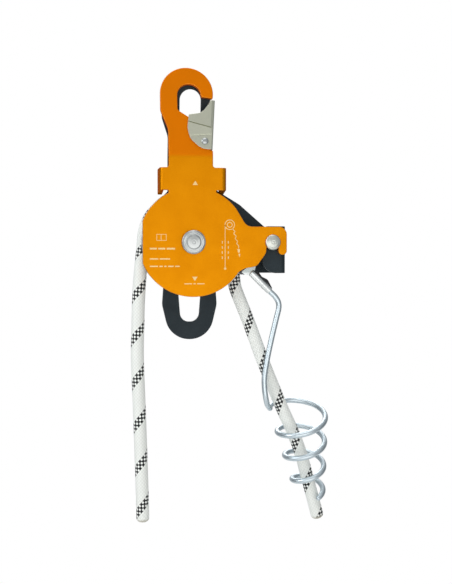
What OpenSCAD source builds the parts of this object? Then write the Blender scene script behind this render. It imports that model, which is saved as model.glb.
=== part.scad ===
// Rope pulley with a swinging front plate, a sprung gate, and a hinged brake lever that carries a coiled rope guide.
// X is to the right, Y is away from the front plate, Z is up, and the origin is the centre of the anchor eye.

/* [Plates] */
// Thickness of both side plates
plate_t = 4; // [3:0.5:5]
// Clear gap between the two side plates
plate_gap = 26; // [25:0.5:32]
// Radius of the round part of the front plate; the rear plate's is a little smaller
disc_r = 49; // [47:0.5:58]
// Distance from the axle to the flat on the left of the front plate
flat_x = 45.2; // [42:0.1:47]
// Height of the bend in the necks above the axle
bend_z = 77; // [76:1:90]
// Lean of both necks towards the middle plane, in degrees
lean = 8.5; // [4:0.5:9]
// Left side of the necks
neck_left = 22; // [20:0.5:24]
// Right side of the necks
neck_right = 17.7; // [16:0.1:18]

/* [Ears of the front plate] */
// Half of the width over the two folded ears
ear_x = 30; // [28.5:0.5:34]
// Height of the bottom of the ears above the axle
ear_low = 46.2; // [46:0.2:50]
// Height of the top of the ears above the axle
ear_top = 66.4; // [60:0.2:70]
// Depth of the folded ears, from the front face backwards
ear_depth = 24; // [16:1:27]

/* [Anchor eye] */
// Height of the anchor eye above the axle
eye_z = 132; // [130:1:140]
// Radius of the hole in the anchor eye
eye_hole_r = 9.75; // [9:0.25:11]
// Outer radius of the anchor eye
eye_r = 23.8; // [22:0.2:26]

/* [Becket eye] */
// Half of the width of the hole in the lower eye
becket_hole_x = 10.6; // [9:0.1:12]
// Depth of the bottom of the lower eye below the axle
becket_low = 89; // [88:0.1:98]
// Width of metal below the hole of the lower eye
becket_rim = 16.3; // [12:0.1:18]

/* [Sheave] */
// Diameter of the rope
rope_d = 12; // [10:0.5:12]
// Radius of the rope's centre line round the sheave
wrap_r = 43.5; // [43.5:0.1:44.5]
// Outer radius of the sheave
sheave_r = 46; // [44:0.5:46]
// Width of the sheave over its rims
sheave_w = 22; // [18:0.5:24]
// Gap all round between the rope and the groove
groove_gap = 0.35; // [0.3:0.05:0.6]

/* [Axle and bearing] */
// Diameter of the axle
axle_d = 12; // [10:0.5:13]
// Diameter of the axle's domed head
axle_head_d = 21.5; // [19:0.5:24]
// Thickness of the axle's head
axle_head_t = 3.5; // [2.5:0.5:5]
// Outer diameter of the ball bearing
bearing_d = 32; // [30:0.5:36]
// Width of the ball bearing
bearing_w = 14; // [12:0.5:14]
// Diameter of the balls
ball_d = 6; // [5:0.25:6.5]
// Number of balls
balls = 7; // [6:1:8]
// Thickness of the two plain washers
washer_t = 0.8; // [0.6:0.1:1.2]
// Width across the flats of the axle's nut
nut_af = 17; // [16:1:19]
// Thickness of the axle's nut
nut_t = 5.5; // [4:0.5:8]

/* [Brake lever] */
// Distance from the axle to the lever's pin
pin_x = 72; // [71:0.5:73]
// Diameter of the lever's pin
pin_d = 10; // [8:0.5:10.5]
// Diameter of the pin's domed head
pin_head_d = 14.2; // [13:0.2:16]
// Thickness of each cheek of the lever
cheek_t = 2; // [1.5:0.1:2.2]
// Wall of the lever's bush
lever_bush_wall = 1; // [0.75:0.25:1.5]
// Outer diameter of the tube that holds the guide wire
socket_d = 6.6; // [6.6:0.1:7.4]

/* [Rope guide] */
// Diameter of the guide's wire
wire_d = 5; // [4.5:0.25:5.75]
// Radius of the coil where it starts
coil_r = 26; // [24:0.5:28]
// Loss of radius with each turn of the coil
coil_taper = 3.8; // [2.5:0.1:3.8]
// Drop of each turn of the coil
coil_pitch = 22.5; // [19:0.5:25]
// Number of turns of the coil
coil_turns = 3.7; // [2:0.1:4]

/* [Gate] */
// Thickness of the gate's sheet
gate_t = 1.4; // [1:0.1:1.6]
// Diameter of the gate's rivet
gate_rivet_d = 4; // [3:0.25:4.5]
// Diameter of the heads of the gate's rivet
gate_head_d = 6.4; // [5.5:0.1:7]

/* [Clearances] */
// Gap between flat faces that slide past each other
slide = 0.2; // [0.1:0.05:0.3]
// Radial clearance of a running fit
running = 0.06; // [0.02:0.01:0.1]
// Radial clearance of a fixed fit
fixed = 0.02; // [0.01:0.01:0.03]

/* [Hidden] */
$fn = 64;

inner_y = plate_gap / 2;
outer_y = inner_y + plate_t;
rear_disc_r = disc_r - 1.5;
rope_r = rope_d / 2;
groove_r = rope_r + groove_gap;
axle_r = axle_d / 2;
bearing_r = bearing_d / 2;
race_wall = (bearing_r - axle_r - ball_d) / 2 + 0.8;
ball_pitch_r = (axle_r + bearing_r) / 2;
ball_gap = 0.2;
shield_t = 0.6;
clip_t = 1.2;
shoulder_t = 1.5;
hub_wall = 5;
hub_y = 10;
web_y = 5;
bush_wall = 2;

// The hub of the lever, and the folded bracket at the end of the rear plate, which carries the lever's pin
bush_d = pin_d + 2 * lever_bush_wall;
hub_rim = 1.7;
hub_gap = 1.1;
bracket_x = pin_x + bush_d / 2 + hub_rim + hub_gap + plate_t;
bracket_top = 14.6;
bracket_low = -27.9;
flange_x = pin_x - 8.5;
flange_y = -inner_y + slide;
fold_r = 4.5;

// The arm of the front plate, with its slot over the pin
arm_x = bracket_x + 0.2;
arm_top = 14;
slot_r = pin_d / 2 + 0.45;
finger_low = -11.3;

// The lever, from its pin down to the shoe that presses on the rope
pin_r = pin_d / 2;
cheek_y = rope_r + 0.4;
cheek_out = cheek_y + cheek_t;
socket_y = -9.2;
socket_from = [53.2, -26.8];
socket_len = 25;
tongue_t = 2.1;
spring_wire_r = 0.65;
shoe_rivet_r = 1.5;

// The gate, in the plane of the leaning neck: across, and up from the bend
gate_pivot = [10.3, 12.8];
gate_web_x = 16;
gate_top = 50.2;
gate_side = 0.4;
gate_spring_z = 20;

// The rope's route beside the sheave, seen from the front, as [across, up] from the axle
rope_left = [
    [-44.5, -253], [-45, -230], [-46, -195], [-47, -164], [-48, -136], [-49, -110],
    [-49, -90], [-48.5, -72], [-48, -54], [-47, -36], [-45.5, -20]
];
rope_pressed = [[39.6, -19], [38.8, -27], [39.4, -35], [41, -43]];
rope_right = [
    [49, -63], [56, -81], [64, -103], [74, -128], [84, -152], [94, -174],
    [102, -195], [107.5, -215], [113.2, -236], [118.4, -255.5]
];
wrap_from = 180;
wrap_to = -10;
wrap_step = 10;

// The guide's wire from its socket to the coil, as [across, away, up] from the axle
wire_lead = [
    [55.2, -9.2, -28.8], [63.2, -9.2, -36.8], [71.2, -9.2, -44.8], [76, -9.2, -49.6], [78.8, -9.2, -54.6],
    [79.1, -9.2, -60.2], [77.1, -9.2, -68.5], [72.4, -9.2, -88], [68.4, -9.2, -107], [66, -9.2, -122],
    [66, -9.2, -132], [67.1, -8.6, -140], [69.2, -6, -148]
];
coil_from = [99, -150.2];
coil_shift = 3.2;
coil_tilt_front = 15;
coil_tilt_side = 0.1;

// Direction of a vector, with a length of 1
function unit(v) = v / norm(v);

// Points of one corner p of an outline, rounded with radius r, from the side towards a to the side towards b
function corner(a, p, b, r) =
    r == 0 ? [p] :
    let (
        u = unit(a - p),
        v = unit(b - p),
        half = acos(u * v) / 2,
        c = p + unit(u + v) * r / sin(half),
        s = p + u * r / tan(half) - c,
        e = p + v * r / tan(half) - c,
        from = atan2(s.y, s.x),
        turn = (atan2(e.y, e.x) - from + 540) % 360 - 180,
        n = max(2, ceil(abs(turn) / 9))
    )
    [for (i = [0:n]) c + r * [cos(from + turn * i / n), sin(from + turn * i / n)]];

// An outline given as [x, z, radius] corners
function flat_of(p) = [p[0], p[1]];
function rounded(p) = [
    for (i = [0:len(p) - 1])
        each corner(flat_of(p[(i + len(p) - 1) % len(p)]), flat_of(p[i]), flat_of(p[(i + 1) % len(p)]), p[i][2])
];

// A smooth line through points, with n steps from each one to the next
function blend4(a, b, c, d, t) =
    0.5 * (2 * b + (c - a) * t + (2 * a - 5 * b + 4 * c - d) * t * t + (3 * b - a - 3 * c + d) * t * t * t);
function smooth(p, n) = [
    for (i = [0:len(p) - 2])
        for (k = [0:n - 1])
            blend4(p[max(i - 1, 0)], p[i], p[i + 1], p[min(i + 2, len(p) - 1)], k / n),
    p[len(p) - 1]
];

// The direction of a line at its point i, and a sideways direction carried along it without twist
function heading(line, i) = unit(line[min(i + 1, len(line) - 1)] - line[max(i - 1, 0)]);
function level(s, t) = unit(s - t * (s * t));
function sideways(line, first) = [
    for (i = 0, s = level(first, heading(line, 0)); i < len(line); i = i + 1, s = level(s, heading(line, i))) s
];
function rings(line, first, r, sides) =
    let (side = sideways(line, first))
    [
        for (i = [0:len(line) - 1])
            let (up = cross(side[i], heading(line, i)))
            [for (k = [0:sides - 1]) line[i] + r * (cos(360 * k / sides) * side[i] + sin(360 * k / sides) * up)]
    ];

// The rope's centre line, and the number of its points before the brake lever takes it
function across(p) = [p[0], 0, p[1]];
rope_wrap = [for (a = [wrap_from:-wrap_step:wrap_to]) wrap_r * [cos(a), sin(a)]];
rope_before = [for (p = concat(rope_left, rope_wrap, rope_pressed)) across(p)];
rope_after = [for (p = rope_right) across(p)];
rope_line = concat(rope_before, rope_after);
rope_split = len(rope_before) - 1;
rope_sides = 12;
rope_rings = rings(rope_line, [0, 1, 0], rope_r, rope_sides);

// A point of the coil, after t turns: it starts at the left and passes behind the rope
function coil_point(t) =
    let (
        r = coil_r - coil_taper * t,
        dx = -r * cos(360 * t),
        dy = r * sin(360 * t)
    )
    [
        coil_from[0] + coil_shift * t + dx,
        dy,
        coil_from[1] - coil_pitch * t + dy * tan(coil_tilt_front) + dx * coil_tilt_side
    ];
coil_step = 1 / 24;
coil_line = [for (t = [0:coil_step:coil_turns]) coil_point(t)];
wire_line = concat(smooth(concat(wire_lead, [coil_line[0]]), 3), [for (i = [1:len(coil_line) - 1]) coil_line[i]]);

// Everything is drawn from the axle, and this brings the anchor eye to the origin
module from_eye() {
    translate([0, 0, -eye_z]) children();
}

// An outline seen from the front, made y0 to y1 thick
module slab(y0, y1) {
    translate([0, y1, 0]) rotate([90, 0, 0]) linear_extrude(y1 - y0) children();
}

// A round bar, or a hole for one, along Y at [x, z]
module bar(r, y0, y1, at = [0, 0]) {
    translate([at[0], y0, at[1]]) rotate([-90, 0, 0]) cylinder(r = r, h = y1 - y0);
}

// A ring along Y at [x, z]
module ring(r_out, r_in, y0, y1, at = [0, 0]) {
    difference() {
        bar(r_out, y0, y1, at);
        bar(r_in, y0 - 1, y1 + 1, at);
    }
}

// A shape turned round Y at [x, z], from its [radius, y] outline
module turned(points, at = [0, 0]) {
    translate([at[0], 0, at[1]]) rotate([-90, 0, 0]) rotate_extrude($fn = 96) polygon(points);
}

// A tube skinned over a list of rings
module skin(ring_list) {
    sides = len(ring_list[0]);
    count = len(ring_list);
    walls = [
        for (i = [0:count - 2])
            for (k = [0:sides - 1])
                let (a = i * sides + k, b = i * sides + (k + 1) % sides)
                each [[a, b, b + sides], [a, b + sides, a + sides]]
    ];
    start = [for (k = [sides - 1:-1:0]) k];
    end = [for (k = [0:sides - 1]) (count - 1) * sides + k];
    polyhedron(points = [for (r = ring_list) each r], faces = concat([start], walls, [end]), convexity = 8);
}

// The plane of a leaning neck: its outer face is local y = 0 and the bend is local z = 0
module front_lean() {
    translate([0, -outer_y, bend_z]) rotate([-lean, 0, 0]) children();
}
module rear_lean() {
    mirror([0, 1, 0]) front_lean() children();
}

// ---- Side plates ----

eye_up = (eye_z - bend_z) / cos(lean);
neck_step = 0.04;
ear_drop = 3.2;

// Outline of a neck and eye above the bend, with the outer circle at centre x
module eye_outline(left, right, centre_x, r, waist) {
    translate([centre_x, eye_up + 1]) circle(r = r);
    polygon(rounded([
        [-left + neck_step, 0, 0], [-left, waist, 16], [centre_x - r, waist + 17, 12], [centre_x - r, eye_up + 1, 0],
        [centre_x + r, eye_up + 1, 0], [right, waist + 8, 20], [right - neck_step, 0, 0]
    ]));
}

// Arm of the front plate, with the slot that drops over the lever's pin
module arm_outline() {
    slot_l = pin_x - 0.2 - slot_r;
    slot_m = pin_x - 0.2 + slot_r;
    finger_r = (arm_x - slot_m) / 2 - 0.05;
    polygon(rounded([
        [20, 20, 0], [38.5, 29.9, 0], [48.5, arm_top, 9], [arm_x, arm_top, 7],
        [arm_x, finger_low, finger_r], [slot_m, finger_low, finger_r], [slot_m, slot_r, slot_r - 0.03],
        [slot_l, slot_r, slot_r - 0.03], [slot_l, finger_low + 2, 9], [pin_x - 14.5, -21.6, 7],
        [pin_x - 26, -23.6, 14], [41, -26.7, 0], [20, -20, 0]
    ]));
}

// One folded ear, seen from above, with its front face. Its lower edge slopes down towards the back
module ear(side) {
    mirror([side > 0 ? 0 : 1, 0, 0]) difference() {
        translate([0, 0, ear_low - 2 * ear_drop]) linear_extrude(ear_top - ear_low + 2 * ear_drop) polygon(rounded([
            [0, -outer_y, 0], [ear_x, -outer_y, 4.5], [ear_x, -outer_y + ear_depth, 1.5],
            [ear_x - plate_t, -outer_y + ear_depth, 1.5], [ear_x - plate_t, -inner_y, 1], [0, -inner_y, 0]
        ]));
        translate([-1, 0, 0]) rotate([90, 0, 90]) linear_extrude(ear_x + 2) polygon([
            [-outer_y - 1, ear_low - 3 * ear_drop], [-outer_y - 1, ear_low], [-outer_y + 5.5, ear_low],
            [-outer_y + 2 * ear_depth - 5.5, ear_low - 2 * ear_drop], [-outer_y + 2 * ear_depth - 5.5, ear_low - 3 * ear_drop]
        ]);
    }
}

// Opening of the front eye: the hole, and the way out under the hook's nose that the gate closes
module front_eye_opening() {
    hole = [-2.85, eye_up - 0.8];
    r = eye_hole_r + 0.85;
    nose = eye_hole_r - 2;
    translate(hole) circle(r = r);
    polygon(rounded([
        [hole.x - r, hole.y, 0], [hole.x - r, eye_up - 14.2, 3.5], [-2.5, eye_up - 21.2, 5],
        [gate_pivot.x - 4.4, gate_pivot.y + 6, 4],
        [gate_pivot.x + 4, gate_pivot.y + 5, 3.2], [gate_web_x - 0.6, gate_pivot.y - 8, 0], [30, gate_pivot.y - 8, 0],
        [30, eye_up - 4, 0], [nose + 0.6, eye_up - 2.2, 3], [nose - 1, eye_up + 2, 0]
    ]));
}

module front_plate() color("darkorange") from_eye() difference() {
    union() {
        slab(-outer_y, -inner_y) {
            intersection() {
                circle(r = disc_r, $fn = 128);
                translate([-flat_x, -60]) square([120, 120]);
            }
            arm_outline();
            translate([-neck_left, 20]) square([neck_left + neck_right + 3, ear_low - 16]);
            polygon(rounded([
                [-neck_left, ear_top - 8, 0], [neck_right, ear_top - 8, 0], [neck_right, bend_z, 0], [-neck_left, bend_z, 0]
            ]));
        }
        ear(1);
        ear(-1);
        front_lean() difference() {
            slab(0, plate_t) eye_outline(neck_left, neck_right, -5, eye_r, 24);
            slab(-1, plate_t + 1) front_eye_opening();
        }
    }
    bar(axle_r + bush_wall + fixed, -outer_y - 1, -inner_y + 1);
    front_lean() bar(gate_rivet_d / 2 + fixed, -1, plate_t + 1, gate_pivot);
}

module front_plate_bush() color("goldenrod") from_eye()
    ring(axle_r + bush_wall, axle_r + running, -outer_y - 0.1, -inner_y + 0.1);

// Arm of the rear plate out to the bracket, and the lower eye
module rear_arm_outline() {
    polygon(rounded([
        [0, 30, 0], [10, 57.2, 0], [46.5, 35.3, 14], [70.3, bracket_top, 4], [bracket_x - fold_r, bracket_top, 0],
        [bracket_x - fold_r, bracket_low, 0], [62, bracket_low, 9], [50, -16, 12], [37.5, -27.8, 0], [20, -20, 0]
    ]));
}
module becket_outline() {
    polygon(rounded([
        [-23, -30, 0], [-25.3, -57, 16], [-17.6, -becket_low, 21.8],
        [17.6, -becket_low, 21.8], [25.3, -57, 16], [23, -30, 0]
    ]));
}
module becket_opening() {
    low = becket_rim - becket_low;
    polygon(rounded([
        [-becket_hole_x, -43, 5], [-becket_hole_x + 2.3, low, becket_hole_x - 2.4],
        [becket_hole_x - 2.3, low, becket_hole_x - 2.4], [becket_hole_x, -43, 5]
    ]));
}

// The arm's end folded forwards and back to the left, seen from above
module bracket_fold() {
    translate([0, 0, bracket_low]) linear_extrude(bracket_top - bracket_low) polygon(rounded([
        [flange_x, flange_y, 0], [bracket_x, flange_y, fold_r], [bracket_x, outer_y, fold_r], [flange_x + 4, outer_y, 0],
        [flange_x + 4, inner_y, 0], [bracket_x - plate_t, inner_y, 1], [bracket_x - plate_t, flange_y + plate_t, 1],
        [flange_x, flange_y + plate_t, 0]
    ]));
}

// What is cut from the corners of the bracket's front flange
module flange_corners() {
    slab(-inner_y - 1, 0) difference() {
        translate([flange_x - 1, bracket_low - 1]) square([14, bracket_top - bracket_low + 2]);
        polygon(rounded([
            [flange_x - 0.01, bracket_low, 12.5], [bracket_x, bracket_low, 0],
            [bracket_x, bracket_top, 0], [flange_x - 0.01, bracket_top, 5]
        ]));
    }
}

module rear_plate() color("darkslategray") from_eye() difference() {
    union() {
        slab(inner_y, outer_y) {
            circle(r = rear_disc_r, $fn = 128);
            rear_arm_outline();
            becket_outline();
            translate([-neck_left + 2, 20]) square([neck_left + neck_right - 2, bend_z - 20]);
            polygon([[-10, 30], [-10, 57.3], [-33, 33.6]]);
        }
        difference() {
            bracket_fold();
            flange_corners();
        }
        rear_lean() slab(0, plate_t) eye_outline(neck_left - 2, neck_right, -3.5, eye_r - 1.5, 20);
    }
    slab(inner_y - 1, outer_y + 1) becket_opening();
    rear_lean() slab(-1, plate_t + 1) polygon(rounded([
        [-eye_hole_r, eye_up + eye_hole_r - 2.4, eye_hole_r - 0.05], [-eye_hole_r, eye_up - 21.8, eye_hole_r - 0.05],
        [eye_hole_r, eye_up - 21.8, eye_hole_r - 0.05], [eye_hole_r, eye_up + eye_hole_r - 2.4, eye_hole_r - 0.05]
    ]));
    bar(axle_r + fixed, inner_y - 1, outer_y + 1);
    bar(pin_r + fixed, -outer_y, outer_y + 1, [pin_x, 0]);
}

// ---- Axle ----

head_y = -outer_y - slide - 0.1 - washer_t;
axle_end = outer_y + washer_t + nut_t + 1;

module axle() color("silver") from_eye() {
    r = axle_head_d / 2;
    turned([
        [0, head_y - axle_head_t], [3, head_y - axle_head_t], [3.3, head_y - axle_head_t + 0.5],
        [r - 3, head_y - axle_head_t + 0.9], [r - 1.4, head_y - axle_head_t + 1.5], [r, head_y - axle_head_t + 2.4],
        [r, head_y], [axle_r, head_y], [axle_r, outer_y], [axle_r - 1, outer_y + 0.01], [axle_r - 1, axle_end - 0.8],
        [axle_r - 1.8, axle_end], [0, axle_end]
    ]);
}

module axle_nut() color("silver") from_eye() difference() {
    translate([0, outer_y + washer_t, 0]) rotate([-90, 0, 0])
        cylinder(r = nut_af / sqrt(3), h = nut_t, $fn = 6);
    bar(axle_r - 1 + fixed, outer_y, axle_end + 1);
}

module axle_washers() color("silver") from_eye() {
    ring(axle_head_d / 2 - 0.4, axle_r + fixed, head_y, head_y + washer_t);
    ring(axle_head_d / 2 - 0.4, axle_r - 1 + fixed, outer_y + 0.01, outer_y + washer_t);
}

module axle_spacers() color("gainsboro") from_eye() {
    ring(axle_r + 2.6, axle_r + fixed, -inner_y + slide + 0.1, -bearing_w / 2);
    ring(axle_r + 2.6, axle_r + fixed, bearing_w / 2, inner_y);
}

// ---- Bearing and sheave ----

// A race: a plain ring with the balls' track cut into it
module race(r_in, r_out) {
    difference() {
        ring(r_out, r_in, -bearing_w / 2, bearing_w / 2);
        rotate([-90, 0, 0]) rotate_extrude($fn = 96) translate([ball_pitch_r, 0]) circle(r = ball_d / 2 + ball_gap, $fn = 32);
    }
}

module inner_race() color("lightsteelblue") from_eye() race(axle_r + fixed, axle_r + race_wall);

module outer_race() color("lightsteelblue") from_eye() race(bearing_r - race_wall, bearing_r);

// The places of the balls round the axle
module each_ball() {
    for (i = [0:balls - 1])
        rotate([0, 360 / balls * i, 0]) translate([ball_pitch_r, 0, 0]) children();
}

module bearing_balls() color("white") from_eye() each_ball() sphere(d = ball_d, $fn = 32);

module ball_cage() color("peru") from_eye() difference() {
    ring(ball_pitch_r + 1, ball_pitch_r - 1, -ball_d / 2 - 1, ball_d / 2 + 1);
    each_ball() sphere(r = ball_d / 2 + ball_gap, $fn = 32);
}

module bearing_shields() color("dimgray") from_eye()
    for (y = [-bearing_w / 2 + 0.2, bearing_w / 2 - 0.2 - shield_t])
        ring(bearing_r - race_wall - fixed, axle_r + race_wall + 0.3, y, y + shield_t);

module bearing_circlip() color("gray") from_eye() difference() {
    ring(bearing_r + 0.9, bearing_r - 1.6, bearing_w / 2 + 0.02, bearing_w / 2 + clip_t);
    translate([-2, 0, -bearing_r - 2]) cube([4, bearing_w, 6]);
}

module sheave() color("lightgray") from_eye() difference() {
    turned([
        [bearing_r - 1.6, -bearing_w / 2 - shoulder_t], [bearing_r + hub_wall, -hub_y], [bearing_r + hub_wall + 1, -web_y],
        [wrap_r - groove_r - 5, -web_y], [wrap_r - groove_r - 3, -sheave_w / 2], [sheave_r, -sheave_w / 2],
        [sheave_r, sheave_w / 2], [wrap_r - groove_r - 3, sheave_w / 2], [wrap_r - groove_r - 5, web_y],
        [bearing_r + hub_wall + 1, web_y], [bearing_r + hub_wall, hub_y], [bearing_r + fixed, hub_y],
        [bearing_r + fixed, -bearing_w / 2 - 0.01], [bearing_r - 1.6, -bearing_w / 2 - 0.01]
    ]);
    rotate([-90, 0, 0]) rotate_extrude($fn = 96) {
        translate([wrap_r, 0]) circle(r = groove_r, $fn = 48);
        polygon([
            [wrap_r - 1, -groove_r + 0.1], [sheave_r + 1, -groove_r - 1.6],
            [sheave_r + 1, groove_r + 1.6], [wrap_r - 1, groove_r - 0.1]
        ]);
    }
    ring(bearing_r + 1, bearing_r - 1, bearing_w / 2, bearing_w / 2 + clip_t + 0.05);
}

// ---- Gate ----

// Side of the gate, from the web on the right to the curved edge on the left
module gate_outline() {
    polygon(rounded([
        [gate_web_x + 1.3, 5.4, 0.5], [7.2, 5.8, 14], [-2.8, gate_pivot.y + 2.1, 12], [-5.3, gate_pivot.y + 11.8, 15],
        [-3.6, eye_up - 17.6, 1.5], [8, eye_up - 17.2, 10], [15.2, eye_up - 8, 6], [15.6, gate_top, 0.6],
        [gate_web_x + 4.8, gate_top, 0.8]
    ]));
}

module gate() color("darkseagreen") from_eye() front_lean() difference() {
    slab(-gate_side - gate_t, plate_t + gate_side + gate_t) gate_outline();
    slab(-gate_side, plate_t + gate_side) polygon([
        [-20, -10], [gate_web_x, -10], [gate_web_x, 8], [gate_web_x + 3.2, gate_top + 5], [-20, gate_top + 5]
    ]);
    bar(gate_rivet_d / 2 + running, -5, plate_t + 5, gate_pivot);
}

module gate_rivet() color("silver") from_eye() front_lean() {
    r = gate_rivet_d / 2;
    h = gate_head_d / 2;
    out = gate_side + gate_t + 0.1;
    turned([
        [0, -out - 1.5], [h - 1.2, -out - 1.3], [h - 0.2, -out - 0.6], [h, -out], [r, -out],
        [r, plate_t + out], [h, plate_t + out], [h - 0.4, plate_t + out + 0.9], [0, plate_t + out + 1]
    ], gate_pivot);
}

module gate_spring() color("lightgray") from_eye() front_lean() {
    turns = 5;
    from = gate_pivot.x + 0.4;
    to = gate_web_x - 0.1;
    line = [
        for (t = [0:1 / 10:turns])
            [from + (to - from) * t / turns, plate_t / 2 + 1.2 * cos(360 * t), gate_spring_z + 1.2 * sin(360 * t)]
    ];
    skin(rings(line, [1, 0, 0], 0.3, 6));
}

// ---- Brake lever ----

module cam_pin() color("silver") from_eye() {
    h = pin_head_d / 2;
    out = -outer_y - slide - 0.2;
    end = outer_y + clip_t + 1.4;
    turned([
        [0, out - 3.2], [h - 3, out - 2.9], [h - 1, out - 2], [h, out - 0.7], [h, out], [pin_r, out],
        [pin_r, outer_y + 0.1], [pin_r - 0.8, outer_y + 0.1], [pin_r - 0.8, outer_y + 0.2 + clip_t],
        [pin_r, outer_y + 0.2 + clip_t], [pin_r - 0.4, end], [0, end]
    ], [pin_x, 0]);
}

module cam_pin_clip() color("gray") from_eye() difference() {
    ring(pin_r + 1.8, pin_r - 0.7, outer_y + 0.12, outer_y + 0.12 + clip_t, [pin_x, 0]);
    translate([pin_x - 2, outer_y, -pin_r - 3]) cube([4, clip_t + 1, 6]);
}

// Outline of each cheek of the lever
module cheek_outline() {
    translate([pin_x, 0]) circle(r = bush_d / 2 + hub_rim);
    polygon(rounded([
        [pin_x - 6, 6.5, 0], [45.6, -20.5, 3], [43.6, -27, 2], [47.6, -30.2, 2.5], [57.2, -21.6, 2], [pin_x + 4.5, -6, 0]
    ]));
}

module cam_lever() color("silver") from_eye() difference() {
    union() {
        slab(-cheek_out, -cheek_y) cheek_outline();
        slab(cheek_y, cheek_out) cheek_outline();
        slab(-cheek_y - 0.01, cheek_y + 0.01) polygon([[56.8, -19.5], [57.8, -20.7], [pin_x - 5.6, -13.8], [pin_x - 6.7, -12.6]]);
    }
    bar(bush_d / 2 + fixed, -inner_y, inner_y, [pin_x, 0]);
    shoe_rivet_places() bar(shoe_rivet_r + fixed, -inner_y, inner_y);
}

module lever_bush() color("goldenrod") from_eye()
    ring(bush_d / 2, pin_r + running, -cheek_out - 0.1, inner_y - slide, [pin_x, 0]);

module lever_spring() color("lightgray") from_eye() {
    coil = bush_d / 2 + 0.4 + spring_wire_r;
    turns = 2.25;
    y0 = cheek_out + 0.2 + spring_wire_r;
    y1 = inner_y - 0.2 - spring_wire_r;
    turn_line = [
        for (t = [0:1 / 20:turns])
            [pin_x - coil * sin(360 * t), y0 + (y1 - y0) * t / turns, -coil * cos(360 * t)]
    ];
    leg_in = [pin_x + 7, y0, -coil - 0.4];
    leg_out = turn_line[len(turn_line) - 1] + [0, 0, 9.5];
    skin(rings(concat([leg_in], turn_line, [leg_out]), [0, 1, 0], spring_wire_r, 6));
}

module shoe_rivet_places() {
    for (p = [[55.2, -13], [51.2, -18.2]])
        translate([p[0], 0, p[1]]) children();
}

module brake_shoe() color("gray") from_eye() difference() {
    slab(-cheek_y + 0.05, cheek_y - 0.05) polygon(rounded([
        [55.5, -7.5, 2], [45.5, -15, 2], [41.5, -24.5, 1], [43.4, -27.8, 1.5], [52.2, -25, 2], [60.5, -12.5, 2]
    ]));
    translate([39.5, 0, -21]) rotate([0, 8.5, 0]) cylinder(r = rope_r + 0.9, h = 60, center = true);
    shoe_rivet_places() bar(shoe_rivet_r + fixed, -inner_y, inner_y);
}

module shoe_rivets() color("silver") from_eye() shoe_rivet_places() {
    turned([
        [0, -cheek_out - 0.8], [2, -cheek_out - 0.6], [2.4, -cheek_out - 0.01], [shoe_rivet_r, -cheek_out - 0.01],
        [shoe_rivet_r, cheek_out + 0.01], [2.4, cheek_out + 0.01], [2, cheek_out + 0.6], [0, cheek_out + 0.8]
    ]);
}

// The tube that grips the guide's wire, with the tongue that joins it to the front cheek
module rod_socket() color("silver") from_eye() difference() {
    union() {
        translate([socket_from[0], socket_y, socket_from[1]]) rotate([0, 135, 0]) cylinder(d = socket_d, h = socket_len);
        slab(-cheek_out - tongue_t, -cheek_out - 0.01) polygon(rounded([
            [44, -26.6, 1], [47.6, -29.4, 2], [53.6, -29.6, 1], [56.2, -27.4, 1], [58.2, -20.6, 2], [54.9, -19, 1]
        ]));
    }
    translate([socket_from[0], socket_y, socket_from[1]]) rotate([0, 135, 0])
        translate([0, 0, 2]) cylinder(r = wire_d / 2 + fixed, h = socket_len);
    slab(-cheek_out - 0.01, 0) intersection() {
        cheek_outline();
        translate([40, -40]) square([30, 40]);
    }
}

module release_leaf() color("black") from_eye()
    slab(socket_y + socket_d / 2 + 0.02, socket_y + socket_d / 2 + 1.8) polygon(rounded([
        [54.5, -25.7, 1], [60.2, -25.4, 3], [64.2, -31.2, 3], [69.6, -33.8, 5], [74, -42.2, 1.5], [71.6, -44.6, 1.5], [55.6, -29.7, 2]
    ]));

module guide_wire() color("silver") from_eye() skin(rings(wire_line, [0, 1, 0], wire_d / 2, 10));

// ---- Rope ----

module rope_run() color("ivory") from_eye() skin([for (i = [0:rope_split]) rope_rings[i]]);

module rope_tail() color("ivory") from_eye() skin([for (i = [rope_split:len(rope_rings) - 1]) rope_rings[i]]);

rear_plate();
axle();
axle_nut();
axle_washers();
axle_spacers();
inner_race();
outer_race();
bearing_balls();
ball_cage();
bearing_shields();
bearing_circlip();
sheave();
front_plate();
front_plate_bush();
gate();
gate_rivet();
gate_spring();
cam_pin();
cam_pin_clip();
cam_lever();
lever_bush();
lever_spring();
brake_shoe();
shoe_rivets();
rod_socket();
release_leaf();
guide_wire();
rope_run();
rope_tail();
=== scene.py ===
# %% [markdown]
# # A rope pulley with a brake lever and a coiled rope guide
# The pulley has two pressed plates, a sheave on a ball bearing, a sprung gate at its anchor eye, and a lever whose shoe presses
# on the rope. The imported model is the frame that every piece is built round: it says where each piece is and what it moves with.

import math

import bmesh
import bpy
import numpy as np
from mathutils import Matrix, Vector
from mathutils.geometry import delaunay_2d_cdt


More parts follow.
